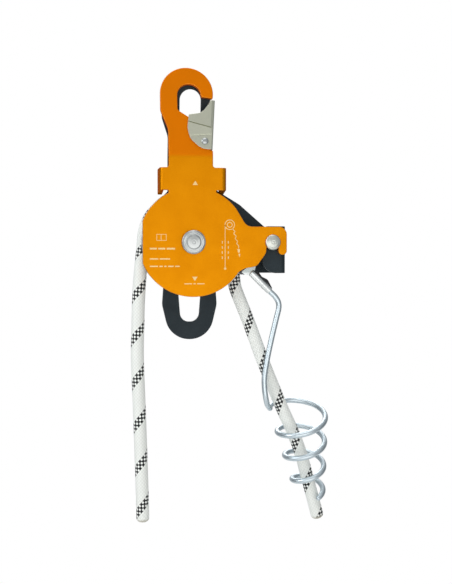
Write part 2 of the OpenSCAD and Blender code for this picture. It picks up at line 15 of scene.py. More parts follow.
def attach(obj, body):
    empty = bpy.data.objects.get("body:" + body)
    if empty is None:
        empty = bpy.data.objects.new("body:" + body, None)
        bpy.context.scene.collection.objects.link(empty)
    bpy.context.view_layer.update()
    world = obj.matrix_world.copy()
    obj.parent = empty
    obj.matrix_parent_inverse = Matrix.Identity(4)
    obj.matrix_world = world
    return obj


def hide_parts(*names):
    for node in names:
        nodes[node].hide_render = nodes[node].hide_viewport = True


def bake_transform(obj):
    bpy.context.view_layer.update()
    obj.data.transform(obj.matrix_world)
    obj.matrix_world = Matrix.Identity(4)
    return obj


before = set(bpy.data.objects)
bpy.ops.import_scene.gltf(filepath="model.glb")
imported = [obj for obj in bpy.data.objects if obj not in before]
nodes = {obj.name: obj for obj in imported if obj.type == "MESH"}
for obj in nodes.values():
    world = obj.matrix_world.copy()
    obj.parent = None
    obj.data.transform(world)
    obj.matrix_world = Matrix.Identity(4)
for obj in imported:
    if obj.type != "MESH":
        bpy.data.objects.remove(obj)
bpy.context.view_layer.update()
scene = bpy.context.scene

# %% [markdown]
# ## Camera, floor and light
# Sizes are written in millimetres from the axle, as on a drawing, and one function turns them into the frame's metres.
# The pulley hangs, so the floor is well below it. One wide soft light is low in front, so that the upright plate is brighter
# than the leaning neck, and the sky that metal reflects is darker at its sides than the plain white one that is seen.

# %% Place the camera
MM = 0.001
AXLE_DOWN = 132.0
AXLE = Vector((0, 0, -AXLE_DOWN * MM))
PIN_X = 72
PIN = (PIN_X, 0)


def from_axle(x, y, z):
    return AXLE + Vector((x, y, z)) * MM


def aim(thing, target, azimuth, elevation, distance):
    turn, rise = math.radians(azimuth), math.radians(elevation)
    back = Vector((math.sin(turn) * math.cos(rise), -math.cos(turn) * math.cos(rise), math.sin(rise)))
    thing.location = target + back * distance
    thing.rotation_euler = (-back).to_track_quat("-Z", "Y").to_euler()


camera = bpy.data.objects.new("camera", bpy.data.cameras.new("camera"))
scene.collection.objects.link(camera)
scene.camera = camera
camera.data.sensor_fit = "VERTICAL"
camera.data.sensor_height = 36
camera.data.lens = 65.0
aim(camera, from_axle(31.9, 0, -45.2), azimuth=-8.75, elevation=1.8, distance=0.963)
scene.view_settings.view_transform = "Standard"

# %% Light the scene
LIGHTS = [
    ("front_light", -4, -12, 9.4, 1.7, (2.2, 1.3), (1.0, 0.985, 0.96)),
    ("left_light", -68, 22, 8.0, 1.5, (0.7, 1.3), (0.94, 0.97, 1.0)),
    ("right_light", 62, 12, 0.6, 1.6, (0.5, 1.3), (0.94, 0.97, 1.0)),
    ("back_light", 170, 35, 10.0, 1.8, (1.2, 0.8), (1.0, 1.0, 1.0)),
    ("top_light", -15, 76, 6.0, 1.6, (1.1, 1.1), (1.0, 1.0, 1.0)),
]
for name, azimuth, elevation, power, distance, (width, height), tint in LIGHTS:
    light = bpy.data.lights.new(name, "AREA")
    light.shape, light.size, light.size_y = "RECTANGLE", width, height
    light.energy, light.color = power, tint
    lamp = bpy.data.objects.new(name, light)
    scene.collection.objects.link(lamp)
    aim(lamp, from_axle(25, 0, -40), azimuth, elevation, distance)
print("lights:", len(LIGHTS))


# %% [markdown]
# ## Helpers for shader nodes
# Each material keeps its own Principled shader. What more than one material needs, such as grain or worn edges, is a shader
# group, which puts out only colours, values and heights.

# %% Define the shader helpers
def add(tree, kind, inputs=None, **settings):
    node = tree.nodes.new(kind)
    for key, value in settings.items():
        setattr(node, key, value)
    for key, value in (inputs or {}).items():
        if isinstance(value, bpy.types.NodeSocket):
            tree.links.new(value, node.inputs[key])
        else:
            node.inputs[key].default_value = value
    return node


def math_of(tree, operation, *values):
    return add(tree, "ShaderNodeMath", dict(enumerate(values)), operation=operation).outputs[0]


def mixed(tree, factor, first, second):
    return add(tree, "ShaderNodeMix", {0: factor, 6: first, 7: second}, data_type="RGBA").outputs[2]


def remapped(tree, value, low, high, new_low, new_high):
    return add(tree, "ShaderNodeMapRange", {0: value, 1: low, 2: high, 3: new_low, 4: new_high}).outputs[0]


def noise(tree, scale, detail):
    """Noise that is fixed to the object, with a scale per metre."""
    place = add(tree, "ShaderNodeTexCoord").outputs["Object"]
    return add(tree, "ShaderNodeTexNoise", {"Vector": place, "Scale": scale, "Detail": detail}).outputs[0]


def node_group(family, name, inputs, outputs):
    """A new Shader or Geometry group, and its sockets as its own nodes see them. A value is optional."""
    group = bpy.data.node_groups.new(name, family + "NodeTree")
    for in_out, sockets in (("INPUT", inputs), ("OUTPUT", outputs)):
        for label, kind, *value in sockets:
            socket = group.interface.new_socket(label, in_out=in_out, socket_type="NodeSocket" + kind)
            if value:
                socket.default_value = value[0]
    return group, group.nodes.new("NodeGroupInput").outputs, group.nodes.new("NodeGroupOutput").inputs


def srgb(red, green, blue):
    """A given colour, as the linear values that a shader takes."""
    return tuple((c / 255 / 12.92) if c < 10 else ((c / 255 + 0.055) / 1.055) ** 2.4 for c in (red, green, blue)) + (1,)


# %% Make the sky and the floor
world = bpy.data.worlds.new("studio")
scene.world = world
world.use_nodes = True
sky = world.node_tree
sky.nodes.clear()
direction = add(sky, "ShaderNodeTexCoord").outputs["Generated"]
toward = add(sky, "ShaderNodeSeparateXYZ", {0: direction})
sides = math_of(sky, "ABSOLUTE", toward.outputs[0])
reflected = mixed(sky, remapped(sky, sides, 0.35, 0.95, 0, 1), (0.56, 0.57, 0.58, 1), (0.22, 0.235, 0.245, 1))
reflected_sky = add(sky, "ShaderNodeBackground", {0: reflected, 1: 0.95})
seen_sky = add(sky, "ShaderNodeBackground", {0: (1, 1, 1, 1), 1: 1.0})
seen = add(sky, "ShaderNodeLightPath").outputs["Is Camera Ray"]
both = add(sky, "ShaderNodeMixShader", {0: seen, 1: reflected_sky.outputs[0], 2: seen_sky.outputs[0]})
add(sky, "ShaderNodeOutputWorld", {0: both.outputs[0]})

floor_material = bpy.data.materials.new("pale_floor")
floor_material.use_nodes = True
floor_shader = floor_material.node_tree.nodes["Principled BSDF"]
floor_shader.inputs["Base Color"].default_value = (0.86, 0.86, 0.85, 1)
floor_shader.inputs["Roughness"].default_value = 0.9
bpy.ops.mesh.primitive_circle_add(vertices=96, radius=1.15, fill_type="NGON", location=(0.03, 0, -0.86))
floor = bpy.context.object
floor.name = "floor"
floor.data.materials.append(floor_material)
print("floor at", floor.location[:])

# %% [markdown]
# ## The rope
# A kernmantle rope is a core in a braided sheath. Two families of flat yarns run round it in opposite directions and pass over
# and under each other, and three black yarns of one family leave a helix of small checks. The rope is a mesh tube along
# its route, because only a mesh can carry the low crown of each yarn and the map that places the checks. It bends
# between the frame and the lever, since the shoe and the coiled guide carry its right side along.

# %% Lay out the rope's route
ROPE_LEFT = [(-44.5, -253), (-45, -230), (-46, -195), (-47, -164), (-48, -136), (-49, -110),
             (-49, -90), (-48.5, -72), (-48, -54), (-47, -36), (-45.5, -20)]
ROPE_WRAP = [(43.5 * math.cos(math.radians(a)), 43.5 * math.sin(math.radians(a))) for a in range(180, -11, -10)]
ROPE_PRESSED = [(39.6, -19), (38.8, -27), (39.4, -35), (41, -43)]
ROPE_RIGHT = [(49, -63), (56, -81), (64, -103), (74, -128), (84, -152), (94, -174),
              (102, -195), (107.5, -215), (113.2, -236), (118.4, -255.5)]


def smooth_line(points, steps):
    """A Catmull-Rom line through the points, as the part's source draws it."""
    p = np.array(points, float)
    ends = lambda i: p[min(max(i, 0), len(p) - 1)]
    line = []
    for i in range(len(p) - 1):
        a, b, c, d = ends(i - 1), ends(i), ends(i + 1), ends(i + 2)
        for t in np.arange(steps) / steps:
            line.append(0.5 * (2 * b + (c - a) * t + (2 * a - 5 * b + 4 * c - d) * t**2 + (3 * b - a - 3 * c + d) * t**3))
    return np.array(line + [p[-1]])


def even_steps(line, step):
    """The same line with its points about one step apart, and the distance along it to each."""
    run = np.concatenate([[0], np.cumsum(np.linalg.norm(np.diff(line, axis=0), axis=1))])
    along = np.linspace(0, run[-1], max(2, round(run[-1] / step)) + 1)
    return np.stack([np.interp(along, run, line[:, k]) for k in range(line.shape[1])], 1), along


route = [(x, 0, z) for x, z in ROPE_LEFT + ROPE_WRAP + ROPE_PRESSED + ROPE_RIGHT]
rope_line, rope_along = even_steps(smooth_line(route, 12), 0.79)

# %% Make the braided sheath
ROPE_DIAMETER = 12.0
YARNS = 12
LAY = 38.0
ROUND = 48
SEALED = 2.4
PHASE = 9.2
BENT_FROM, BENT_TO, STRETCH = 240.0, 440.0, 0.973
CROWN, BASE_R = 0.22, ROPE_DIAMETER / 2 - 0.3


def braid_reach(s, total):
    """How far the braid has come at a length along the rope: the straight ends are stretched a little, and the bend packed."""
    known = (0, BENT_FROM, BENT_TO, total)
    return PHASE + np.interp(s, known, (0, STRETCH * BENT_FROM, total - STRETCH * (total - BENT_TO), total))


def braided_tube(line, along):
    """Vertices, faces and face-corner map of a tube whose surface rises where a yarn crosses over."""
    tangent = np.gradient(line, axis=0)
    tangent /= np.linalg.norm(tangent, axis=1)[:, None]
    side = np.array([0.0, 1.0, 0.0])
    upward = np.cross(side, tangent)
    vertices, faces, corners = [], [], []
    total = along[-1]
    braid = braid_reach(along, total)
    for i, (p, s) in enumerate(zip(line, along)):
        end = min(s, total - s)
        squeeze = math.sqrt(max(0.0, 1 - max(0.0, (SEALED - end) / SEALED) ** 2 * 0.5))
        for k in range(ROUND):
            turn = k / ROUND
            first, second = YARNS * (turn + braid[i] / LAY) % 1, YARNS * (turn - braid[i] / LAY) % 1
            crown = (math.sin(math.pi * first) * math.sin(math.pi * second)) ** 0.5
            radius = (BASE_R + CROWN * crown * (1 if end > SEALED else 0.2)) * squeeze
            angle = 2 * math.pi * turn
            vertices.append(p + radius * (math.cos(angle) * side + math.sin(angle) * upward[i]))
    for i in range(len(line) - 1):
        for k in range(ROUND):
            a, b = i * ROUND + k, i * ROUND + (k + 1) % ROUND
            faces.append((a, b, b + ROUND, a + ROUND))
            u, v = (k / ROUND, (k + 1) / ROUND), (braid[i] * MM, braid[i + 1] * MM)
            corners += [(u[0], v[0]), (u[1], v[0]), (u[1], v[1]), (u[0], v[1])]
    for ring, centre, sign in ((0, line[0], -1), (len(line) - 1, line[-1], 1)):
        rim = len(vertices)
        for share in (0.8, 0.4):
            for k in range(ROUND):
                out = np.array(vertices[ring * ROUND + k]) - centre
                vertices.append(centre + out * share + sign * tangent[ring] * (0.5 if share > 0.5 else 0.75))
        middle = len(vertices)
        vertices.append(centre + sign * tangent[ring] * 0.8)
        level = braid[ring] * MM
        for k in range(ROUND):
            n = (k + 1) % ROUND
            strips = [(ring * ROUND + k, ring * ROUND + n, rim + n, rim + k),
                      (rim + k, rim + n, rim + ROUND + n, rim + ROUND + k), (rim + ROUND + k, rim + ROUND + n, middle)]
            for strip in strips:
                faces.append(strip if sign > 0 else strip[::-1])
                corners += [(k / ROUND, level)] * len(strip)
    return vertices, faces, corners


vertices, faces, corners = braided_tube(rope_line, rope_along)
rope_mesh = bpy.data.meshes.new("rope")
rope_mesh.from_pydata([from_axle(*v) for v in vertices], [], faces)
rope_map = rope_mesh.uv_layers.new(name="UVMap")
rope_map.data.foreach_set("uv", np.array(corners, np.float32).ravel())
sealed = rope_mesh.attributes.new("sealed", "FLOAT", "POINT")
ring_of = np.minimum(np.arange(len(vertices)) // ROUND, len(rope_line))
reach = [min(rope_along[r], rope_along[-1] - rope_along[r]) if r < len(rope_line) else 0 for r in ring_of]
sealed.data.foreach_set("value", np.clip(1.25 - np.array(reach, np.float32) / SEALED, 0, 1))
rope_mesh.shade_smooth()
rope = bpy.data.objects.new("rope", rope_mesh)
scene.collection.objects.link(rope)
check = bmesh.new()
check.from_mesh(rope_mesh)
if check.calc_volume(signed=True) < 0:
    rope_mesh.flip_normals()
print(f"sheath: {len(rope_mesh.polygons)} faces, volume {abs(check.calc_volume()) * 1e6:.1f} ml")
check.free()

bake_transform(rope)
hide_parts("rope_run", "rope_tail")

# %% [markdown]
# ## The braid's pattern
# The map gives the turn round the rope and the metres along it. From them come two slanting coordinates, one for each family
# of yarns. Where their whole parts add up to an even number, the first family is on top, so the black yarns show there.

# %% Build the rope's material
weave, given, put = node_group(
    "Shader", "braided_sheath",
    [("Yarns", "Float", YARNS), ("Lay", "Float", LAY * MM), ("Black yarns", "Float", 3.0),
     ("White", "Color", srgb(250, 252, 247)), ("Shade", "Color", srgb(234, 236, 230)), ("Black", "Color", srgb(24, 25, 28))],
    [("Color", "Color"), ("Height", "Float"), ("Roughness", "Float")])
place = add(weave, "ShaderNodeSeparateXYZ", {0: add(weave, "ShaderNodeUVMap", uv_map="UVMap").outputs[0]})
lays = math_of(weave, "DIVIDE", place.outputs[1], given["Lay"])
first = math_of(weave, "MULTIPLY", math_of(weave, "ADD", place.outputs[0], lays), given["Yarns"])
second = math_of(weave, "MULTIPLY", math_of(weave, "SUBTRACT", place.outputs[0], lays), given["Yarns"])
whole = math_of(weave, "ADD", math_of(weave, "FLOOR", first), math_of(weave, "FLOOR", second))
under = math_of(weave, "FLOORED_MODULO", whole, 2.0)
yarn = math_of(weave, "FLOORED_MODULO", math_of(weave, "FLOOR", first), given["Yarns"])


def crown(coordinate):
    return math_of(weave, "SINE", math_of(weave, "MULTIPLY", math_of(weave, "FRACT", coordinate), math.pi))


def wave(coordinate):
    return math_of(weave, "SINE", math_of(weave, "MULTIPLY", coordinate, math.pi))


# A black yarn swells where it comes over, so its checks reach a little way past their corners and touch
over = math_of(weave, "GREATER_THAN", math_of(weave, "MULTIPLY", wave(first), wave(second)), -0.16)
is_black = math_of(weave, "MULTIPLY", math_of(weave, "LESS_THAN", yarn, given["Black yarns"]), over)
rise = math_of(weave, "POWER", math_of(weave, "MULTIPLY", crown(first), crown(second)), 0.6)
top = add(weave, "ShaderNodeMix", {0: under, 2: first, 3: second}).outputs[0]
threads = math_of(weave, "SINE", math_of(weave, "MULTIPLY", top, math.pi * 8))
height = math_of(weave, "MULTIPLY_ADD", threads, 0.1, rise)
fuzz = noise(weave, 900.0, 3.0)
lit = remapped(weave, math_of(weave, "MULTIPLY_ADD", fuzz, 0.35, rise), 0.15, 0.95, 0, 1)
pale = mixed(weave, lit, given["Shade"], given["White"])
weave.links.new(mixed(weave, is_black, pale, given["Black"]), put["Color"])
weave.links.new(math_of(weave, "MULTIPLY_ADD", fuzz, 0.3, height), put["Height"])
weave.links.new(remapped(weave, fuzz, 0.3, 0.7, 0.72, 0.92), put["Roughness"])

# %% Give the rope its material
rope_sheath = bpy.data.materials.new("rope_sheath")
rope_sheath.use_nodes = True
tree = rope_sheath.node_tree
shader = tree.nodes["Principled BSDF"]
sheath = add(tree, "ShaderNodeGroup", node_tree=weave)
melt = add(tree, "ShaderNodeAttribute", attribute_name="sealed").outputs["Fac"]
tree.links.new(mixed(tree, melt, sheath.outputs["Color"], srgb(196, 192, 178)), shader.inputs["Base Color"])
tree.links.new(sheath.outputs["Roughness"], shader.inputs["Roughness"])
bump = add(tree, "ShaderNodeBump", {"Strength": 0.35, "Distance": 0.0004, "Height": sheath.outputs["Height"]})
tree.links.new(bump.outputs[0], shader.inputs["Normal"])
shader.inputs["Sheen Weight"].default_value = 0.25
shader.inputs["Sheen Roughness"].default_value = 0.5
rope_mesh.materials.append(rope_sheath)
print("rope material:", len(weave.nodes), "nodes in its group")

# %% [markdown]
# ## Metal finishes
# Three groups serve every metal here. One gives fine grain along a direction, one turns the grain into rings round a
# centre for parts cut on a lathe, and one lightens the edges, partly as wear where the coating goes first and partly as
# a painted highlight.
# Each plate's mesh carries an attribute, edge, that is 1 on its rounded edges, and the last group reads it.

# %% Build the shared metal groups
grain, given, put = node_group(
    "Shader", "metal_grain",
    [("Vector", "Vector"), ("Scale", "Float", 900.0), ("Colour", "Color", (0.5, 0.5, 0.5, 1)),
     ("Second colour", "Color", (0.4, 0.4, 0.4, 1)), ("Smoothest", "Float", 0.25), ("Roughest", "Float", 0.4)],
    [("Color", "Color"), ("Roughness", "Float"), ("Height", "Float")])
fine = add(grain, "ShaderNodeTexNoise",
           {"Vector": given["Vector"], "Scale": given["Scale"], "Detail": 4.0, "Roughness": 0.6}).outputs[0]
cloud = noise(grain, 55.0, 3.0)
speck = math_of(grain, "MULTIPLY_ADD", fine, 0.5, math_of(grain, "MULTIPLY", cloud, 0.5))
grain.links.new(mixed(grain, remapped(grain, speck, 0.36, 0.64, 0, 1), given["Colour"], given["Second colour"]), put["Color"])
spread = add(grain, "ShaderNodeMapRange", {0: speck, 1: 0.35, 2: 0.65, 3: given["Smoothest"], 4: given["Roughest"]})
grain.links.new(spread.outputs[0], put["Roughness"])
grain.links.new(fine, put["Height"])

rings, given, put = node_group("Shader", "turned_rings", [("Centre", "Vector")], [("Vector", "Vector")])
here = add(rings, "ShaderNodeVectorMath",
           {0: add(rings, "ShaderNodeTexCoord").outputs["Object"], 1: given["Centre"]}, operation="SUBTRACT")
split = add(rings, "ShaderNodeSeparateXYZ", {0: here.outputs[0]})
squares = [math_of(rings, "POWER", math_of(rings, "ABSOLUTE", split.outputs[i]), 2.0) for i in (0, 2)]
radius = math_of(rings, "SQRT", math_of(rings, "ADD", *squares))
turned_place = add(rings, "ShaderNodeCombineXYZ", {0: radius, 1: split.outputs[1], 2: 0.0})
rings.links.new(turned_place.outputs[0], put["Vector"])

wear, given, put = node_group(
    "Shader", "edge_wear_and_sheen",
    [("Colour", "Color", (0.5, 0.5, 0.5, 1)), ("Bare", "Color", (0.8, 0.8, 0.8, 1)), ("Amount", "Float", 0.5)],
    [("Color", "Color"), ("Mask", "Float")])
edge = add(wear, "ShaderNodeAttribute", attribute_name="edge").outputs["Fac"]
patches = remapped(wear, noise(wear, 130.0, 4.0), 0.35, 0.6, 0.35, 1)
# Every rounded edge is lightened, partly as wear and partly as a painted highlight; the noise patches only vary how
# much
mask = math_of(wear, "MULTIPLY", math_of(wear, "MULTIPLY", edge, patches), given["Amount"])
wear.links.new(mixed(wear, mask, given["Colour"], given["Bare"]), put["Color"])
wear.links.new(mask, put["Mask"])
print("shader groups:", [g.name for g in bpy.data.node_groups])


# %% Define a metal finish
def metal(name, colour, second, roughness, grain_scale, metallic=1.0, scale=(1, 1, 1), centre=None, bare_and_sheen=None,
          wear_and_sheen_amount=0.4, bump=0.03, specular=0.5, edge_tint=None, painted_shade_above=None):
    """A metal whose grain follows a stretched direction, or rings round a centre. Its edges may be lightened to a bare
    colour, partly as wear and partly as a painted edge highlight, and past two given heights it may take another given
    colour, as painted shade."""
    material = bpy.data.materials.new(name)
    material.use_nodes = True
    tree = material.node_tree
    shader = tree.nodes["Principled BSDF"]
    if centre is None:
        where = add(tree, "ShaderNodeMapping", {0: add(tree, "ShaderNodeTexCoord").outputs["Object"], 3: scale}).outputs[0]
    else:
        where = add(tree, "ShaderNodeGroup", {"Centre": centre}, node_tree=rings).outputs[0]
    look = add(tree, "ShaderNodeGroup",
               {"Vector": where, "Scale": grain_scale, "Colour": srgb(*colour), "Second colour": srgb(*second),
                "Smoothest": roughness[0], "Roughest": roughness[1]}, node_tree=grain)
    colours = look.outputs["Color"]
    if painted_shade_above is not None:
        height = add(tree, "ShaderNodeSeparateXYZ", {0: add(tree, "ShaderNodeTexCoord").outputs["Object"]}).outputs["Z"]
        colours = mixed(tree, remapped(tree, height, painted_shade_above[0], painted_shade_above[1], 0, 1), colours, srgb(*painted_shade_above[2]))
    if bare_and_sheen is not None:
        # The lighter edge colour is part wear, part painted edge highlight
        worn_and_sheen_look = add(tree, "ShaderNodeGroup", {"Colour": colours, "Bare": srgb(*bare_and_sheen), "Amount": wear_and_sheen_amount}, node_tree=wear)
        colours = worn_and_sheen_look.outputs["Color"]
    tree.links.new(colours, shader.inputs["Base Color"])
    tree.links.new(look.outputs["Roughness"], shader.inputs["Roughness"])
    relief = add(tree, "ShaderNodeBump", {"Strength": bump, "Distance": 0.0002, "Height": look.outputs["Height"]})
    tree.links.new(relief.outputs[0], shader.inputs["Normal"])
    shader.inputs["Metallic"].default_value = metallic
    shader.inputs["Specular IOR Level"].default_value = specular
    if edge_tint is not None:
        shader.inputs["Specular Tint"].default_value = srgb(*edge_tint)
    return material


ON_AXLE, ON_PIN = tuple(AXLE), tuple(from_axle(PIN_X, 0, 0))
# Pairs of heights in metres, between which a colour changes as painted shade: the leaning neck past its bend is painted
# darker and redder than the upright plate, and the socket's tongue is painted a darker grey than its tube
NECK_SHADE_HEIGHTS, TONGUE_SHADE_HEIGHTS = (-0.0565, -0.0535), (-0.1612, -0.1585)
METALS = [
    # The leaning neck's darker, redder colour past the bend is painted shade on the same anodised sheet
    ("orange_anodised", (227, 144, 10), (222, 138, 7), (0.4, 0.48), 1500.0,
     dict(metallic=0.92, bare_and_sheen=(250, 186, 96), wear_and_sheen_amount=0.35, specular=0.25, edge_tint=(190, 60, 10),
          painted_shade_above=(*NECK_SHADE_HEIGHTS, (247, 134, 9)))),
    ("black_anodised", (43, 53, 58), (36, 45, 50), (0.42, 0.52), 1500.0,
     dict(metallic=0.2, bare_and_sheen=(84, 92, 98), wear_and_sheen_amount=0.45, specular=0.22)),
    ("gate_steel", (208, 209, 190), (196, 198, 180), (0.38, 0.5), 500.0,
     dict(scale=(1, 1, 9), bare_and_sheen=(206, 208, 202), wear_and_sheen_amount=0.5)),
    ("zinc_wire", (214, 225, 231), (211, 223, 229), (0.33, 0.35), 700.0, dict(bump=0.0)),
    ("zinc_steel", (204, 207, 206), (176, 180, 180), (0.26, 0.4), 800.0, dict(bare_and_sheen=(224, 226, 226))),
    # The tongue's darker grey above the given heights is painted shade on the same zinc sheet as the tube
    ("socket_zinc", (238, 241, 240), (218, 222, 222), (0.3, 0.44), 800.0,
     dict(bare_and_sheen=(240, 242, 242), painted_shade_above=(*TONGUE_SHADE_HEIGHTS, (174, 182, 181)))),
    ("axle_zinc", (204, 207, 206), (168, 172, 172), (0.24, 0.38), 1600.0, dict(centre=ON_AXLE)),
    ("pin_zinc", (232, 234, 226), (200, 203, 195), (0.26, 0.42), 1600.0, dict(centre=ON_PIN)),
    ("plain_alloy", (200, 202, 204), (178, 180, 184), (0.22, 0.34), 1800.0, dict(centre=ON_AXLE)),
    ("bearing_steel", (190, 192, 196), (168, 170, 176), (0.1, 0.2), 1400.0, dict(centre=ON_AXLE)),
    ("dark_steel", (92, 94, 98), (72, 74, 78), (0.3, 0.44), 900.0, dict(bare_and_sheen=(150, 152, 156))),
    # The leaf's near-black colour is painted shade: it is steel standing in the shadow behind the socket tube
    ("black_steel", (30, 32, 36), (20, 22, 25), (0.34, 0.5), 900.0, dict(metallic=0.5, bare_and_sheen=(80, 84, 88))),
    ("spring_steel", (176, 180, 186), (140, 146, 152), (0.18, 0.3), 900.0, {}),
    ("cage_brass", (206, 168, 92), (182, 144, 70), (0.24, 0.36), 1400.0, dict(centre=ON_AXLE)),
    ("bush_bronze", (188, 142, 92), (158, 114, 70), (0.28, 0.42), 1400.0, dict(centre=ON_AXLE)),
    ("mark_pale", (252, 222, 160), (246, 208, 140), (0.45, 0.6), 1500.0, dict(metallic=0.2)),
]
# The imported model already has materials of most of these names, so the new ones are looked up here, not by their name
finishes = {}
for name, colour, second, roughness, grain_scale, rest in METALS:
    finishes[name] = metal(name, colour, second, roughness, grain_scale, **rest)
print("metals:", len(finishes))


# %% [markdown]
# ## Helpers for shapes
# A pressed plate is drawn as its flat blank: an outline of corners with radii, holes, a thickness and a small edge
# radius. The blank is then cut where it bends, and each point is carried round the bends, as on a press brake. Round
# parts are a profile turned round an axis. Both give plain lists of vertices, faces and edge values for wear and
# painted highlight, which a last helper makes a piece of.

# %% Draw outlines
def arc(centre, radius, start, end, step=4):
    count = max(1, math.ceil(abs(end - start) / step))
    angles = [math.radians(start + (end - start) * i / count) for i in range(count + 1)]
    return [(centre[0] + radius * math.cos(a), centre[1] + radius * math.sin(a)) for a in angles]


def rounded(corners, step=6):
    """An outline of (across, up, radius) corners, or plain (across, up) points, with its corners rounded."""
    points = [Vector(c[:2]) for c in corners]
    line = []
    for i, corner in enumerate(corners):
        p, r = points[i], corner[2] if len(corner) > 2 else 0
        if r == 0:
            line.append(tuple(p))
            continue
        u, v = (points[i - 1] - p).normalized(), (points[(i + 1) % len(points)] - p).normalized()
        half = math.acos(max(-1, min(1, u.dot(v)))) / 2
        centre = p + (u + v).normalized() * (r / math.sin(half))
        start, end = p + u * (r / math.tan(half)) - centre, p + v * (r / math.tan(half)) - centre
        begin = math.degrees(math.atan2(start.y, start.x))
        turn = (math.degrees(math.atan2(end.y, end.x)) - begin + 540) % 360 - 180
        line += arc(centre, r, begin, begin + turn, step)
    clean = [line[0]]
    for p in line[1:]:
        if math.dist(p, clean[-1]) > 0.02:
            clean.append(p)
    return clean[:-1] if math.dist(clean[0], clean[-1]) < 0.02 else clean


def hole(centre, radius, step=7.5):
    return arc(centre, radius, 0, 360, step)[:-1]


def wound(loop, left):
    """The loop in the direction that keeps the metal on its left, or on its right for a hole."""
    area = sum(a[0] * b[1] - b[0] * a[1] for a, b in zip(loop, loop[1:] + loop[:1]))
    return loop if (area > 0) == left else loop[::-1]


def moved_in(loop, distance):
    """The loop with each point moved into the metal on its left."""
    moved = []
    for a, p, b in zip(loop[-1:] + loop[:-1], loop, loop[1:] + loop[:1]):
        u, v = (Vector(p) - Vector(a)).normalized(), (Vector(b) - Vector(p)).normalized()
        n = Vector((-u.y - v.y, u.x + v.x)).normalized()
        moved.append(tuple(Vector(p) + n * distance / max(0.6, n.dot(Vector((-u.y, u.x))))))
    return moved


# %% Cut and bend plates
def blank(loops, thickness, edge_radius, cuts=(), steps=3):
    """A flat plate: outer loop first, then holes. Returns a bmesh in (across, up, depth), cut along the given lines."""
    loops = [wound(loop, i == 0) for i, loop in enumerate(loops)]
    shape = bmesh.new()
    wear_layer = shape.verts.layers.float.new("edge")
    angles = [math.pi / 2 * i / steps for i in range(steps + 1)]
    bands = [(edge_radius * (1 - math.sin(a)), edge_radius * (1 - math.cos(a))) for a in angles]
    levels = bands + [(inset, thickness - depth) for inset, depth in reversed(bands)]
    caps = ([], [])
    for loop in loops:
        loop_rings = []
        for number, (inset, depth) in enumerate(levels):
            ring = [shape.verts.new((x, y, depth)) for x, y in moved_in(loop, inset)]
            for vertex in ring:
                vertex[wear_layer] = 0.0 if number in (0, len(levels) - 1) else 1.0
            loop_rings.append(ring)
        for low, high in zip(loop_rings, loop_rings[1:]):
            for i in range(len(loop)):
                n = (i + 1) % len(loop)
                shape.faces.new((low[i], low[n], high[n], high[i]))
        caps[0].append(loop_rings[0])
        caps[1].append(loop_rings[-1])
    for cap in caps:
        flat = [v for ring in cap for v in ring]
        edges, start = [], 0
        for ring in cap:
            edges += [(start + i, start + (i + 1) % len(ring)) for i in range(len(ring))]
            start += len(ring)
        places, _, triangles, origin, _, _ = delaunay_2d_cdt([v.co.xy for v in flat], edges, [], 0, 1e-7)
        outline = [[v.co.xy for v in ring] for ring in cap]
        for triangle in triangles:
            middle = sum((places[i] for i in triangle), Vector((0, 0))) / len(triangle)
            if inside(middle, outline):
                corners_here = [flat[origin[i][0]] for i in triangle]
                if shape.faces.get(corners_here) is None:
                    shape.faces.new(corners_here)
    for point, normal in cuts:
        everything = shape.verts[:] + shape.edges[:] + shape.faces[:]
        bmesh.ops.bisect_plane(shape, geom=everything, dist=1e-4, plane_co=(*point, 0), plane_no=(*normal, 0))
    return shape


def inside(p, loops):
    """True if p is in the metal: an odd number of edges lie to its right."""
    crossings = 0
    for loop in loops:
        for a, b in zip(loop, loop[1:] + loop[:1]):
            if (a[1] > p[1]) != (b[1] > p[1]) and p[0] < (b[0] - a[0]) * (p[1] - a[1]) / (b[1] - a[1]) + a[0]:
                crossings += 1
    return crossings % 2 == 1


def bent(along, depth, bends):
    """Carries a point of the blank round bends. Each bend is (flat length before it, outer radius, degrees), and
    along is measured on the outer face. Returns (along the first flat, towards the inner side)."""
    position, heading = Vector((0, 0)), 0.0
    for flat, radius, degrees in bends:
        direction, inner = Vector((math.cos(heading), math.sin(heading))), Vector((-math.sin(heading), math.cos(heading)))
        if along <= flat:
            return position + direction * along + inner * depth
        position, along = position + direction * flat, along - flat
        turn = math.radians(degrees)
        part = min(along / radius, turn)
        centre = position + inner * radius
        position = centre + Vector((math.sin(heading + part), -math.cos(heading + part))) * radius
        heading, along = heading + part, along - part * radius
        if part < turn:
            return position + Vector((-math.sin(heading), math.cos(heading))) * depth
    direction, inner = Vector((math.cos(heading), math.sin(heading))), Vector((-math.sin(heading), math.cos(heading)))
    return position + direction * along + inner * depth


def shell(shape, place):
    """Vertices, faces and edge values of a bmesh, which lighten its edges as wear and painted highlight, with each
    vertex put in its place. The bmesh is freed.
    """
    layer = shape.verts.layers.float.get("edge")
    shape.verts.index_update()
    result = ([tuple(place(v.co)) for v in shape.verts], [[v.index for v in f.verts] for f in shape.faces],
              [v[layer] if layer else 0.0 for v in shape.verts])
    shape.free()
    return result


def sheet(loops, thickness, edge_radius, y, way=1, steps=3):
    """A flat plate with one face at depth y and its thickness towards the back, or towards the front where way is -1."""
    return shell(blank(loops, thickness, edge_radius, steps=steps), lambda p: Vector((p.x, y + way * p.z, p.y)))


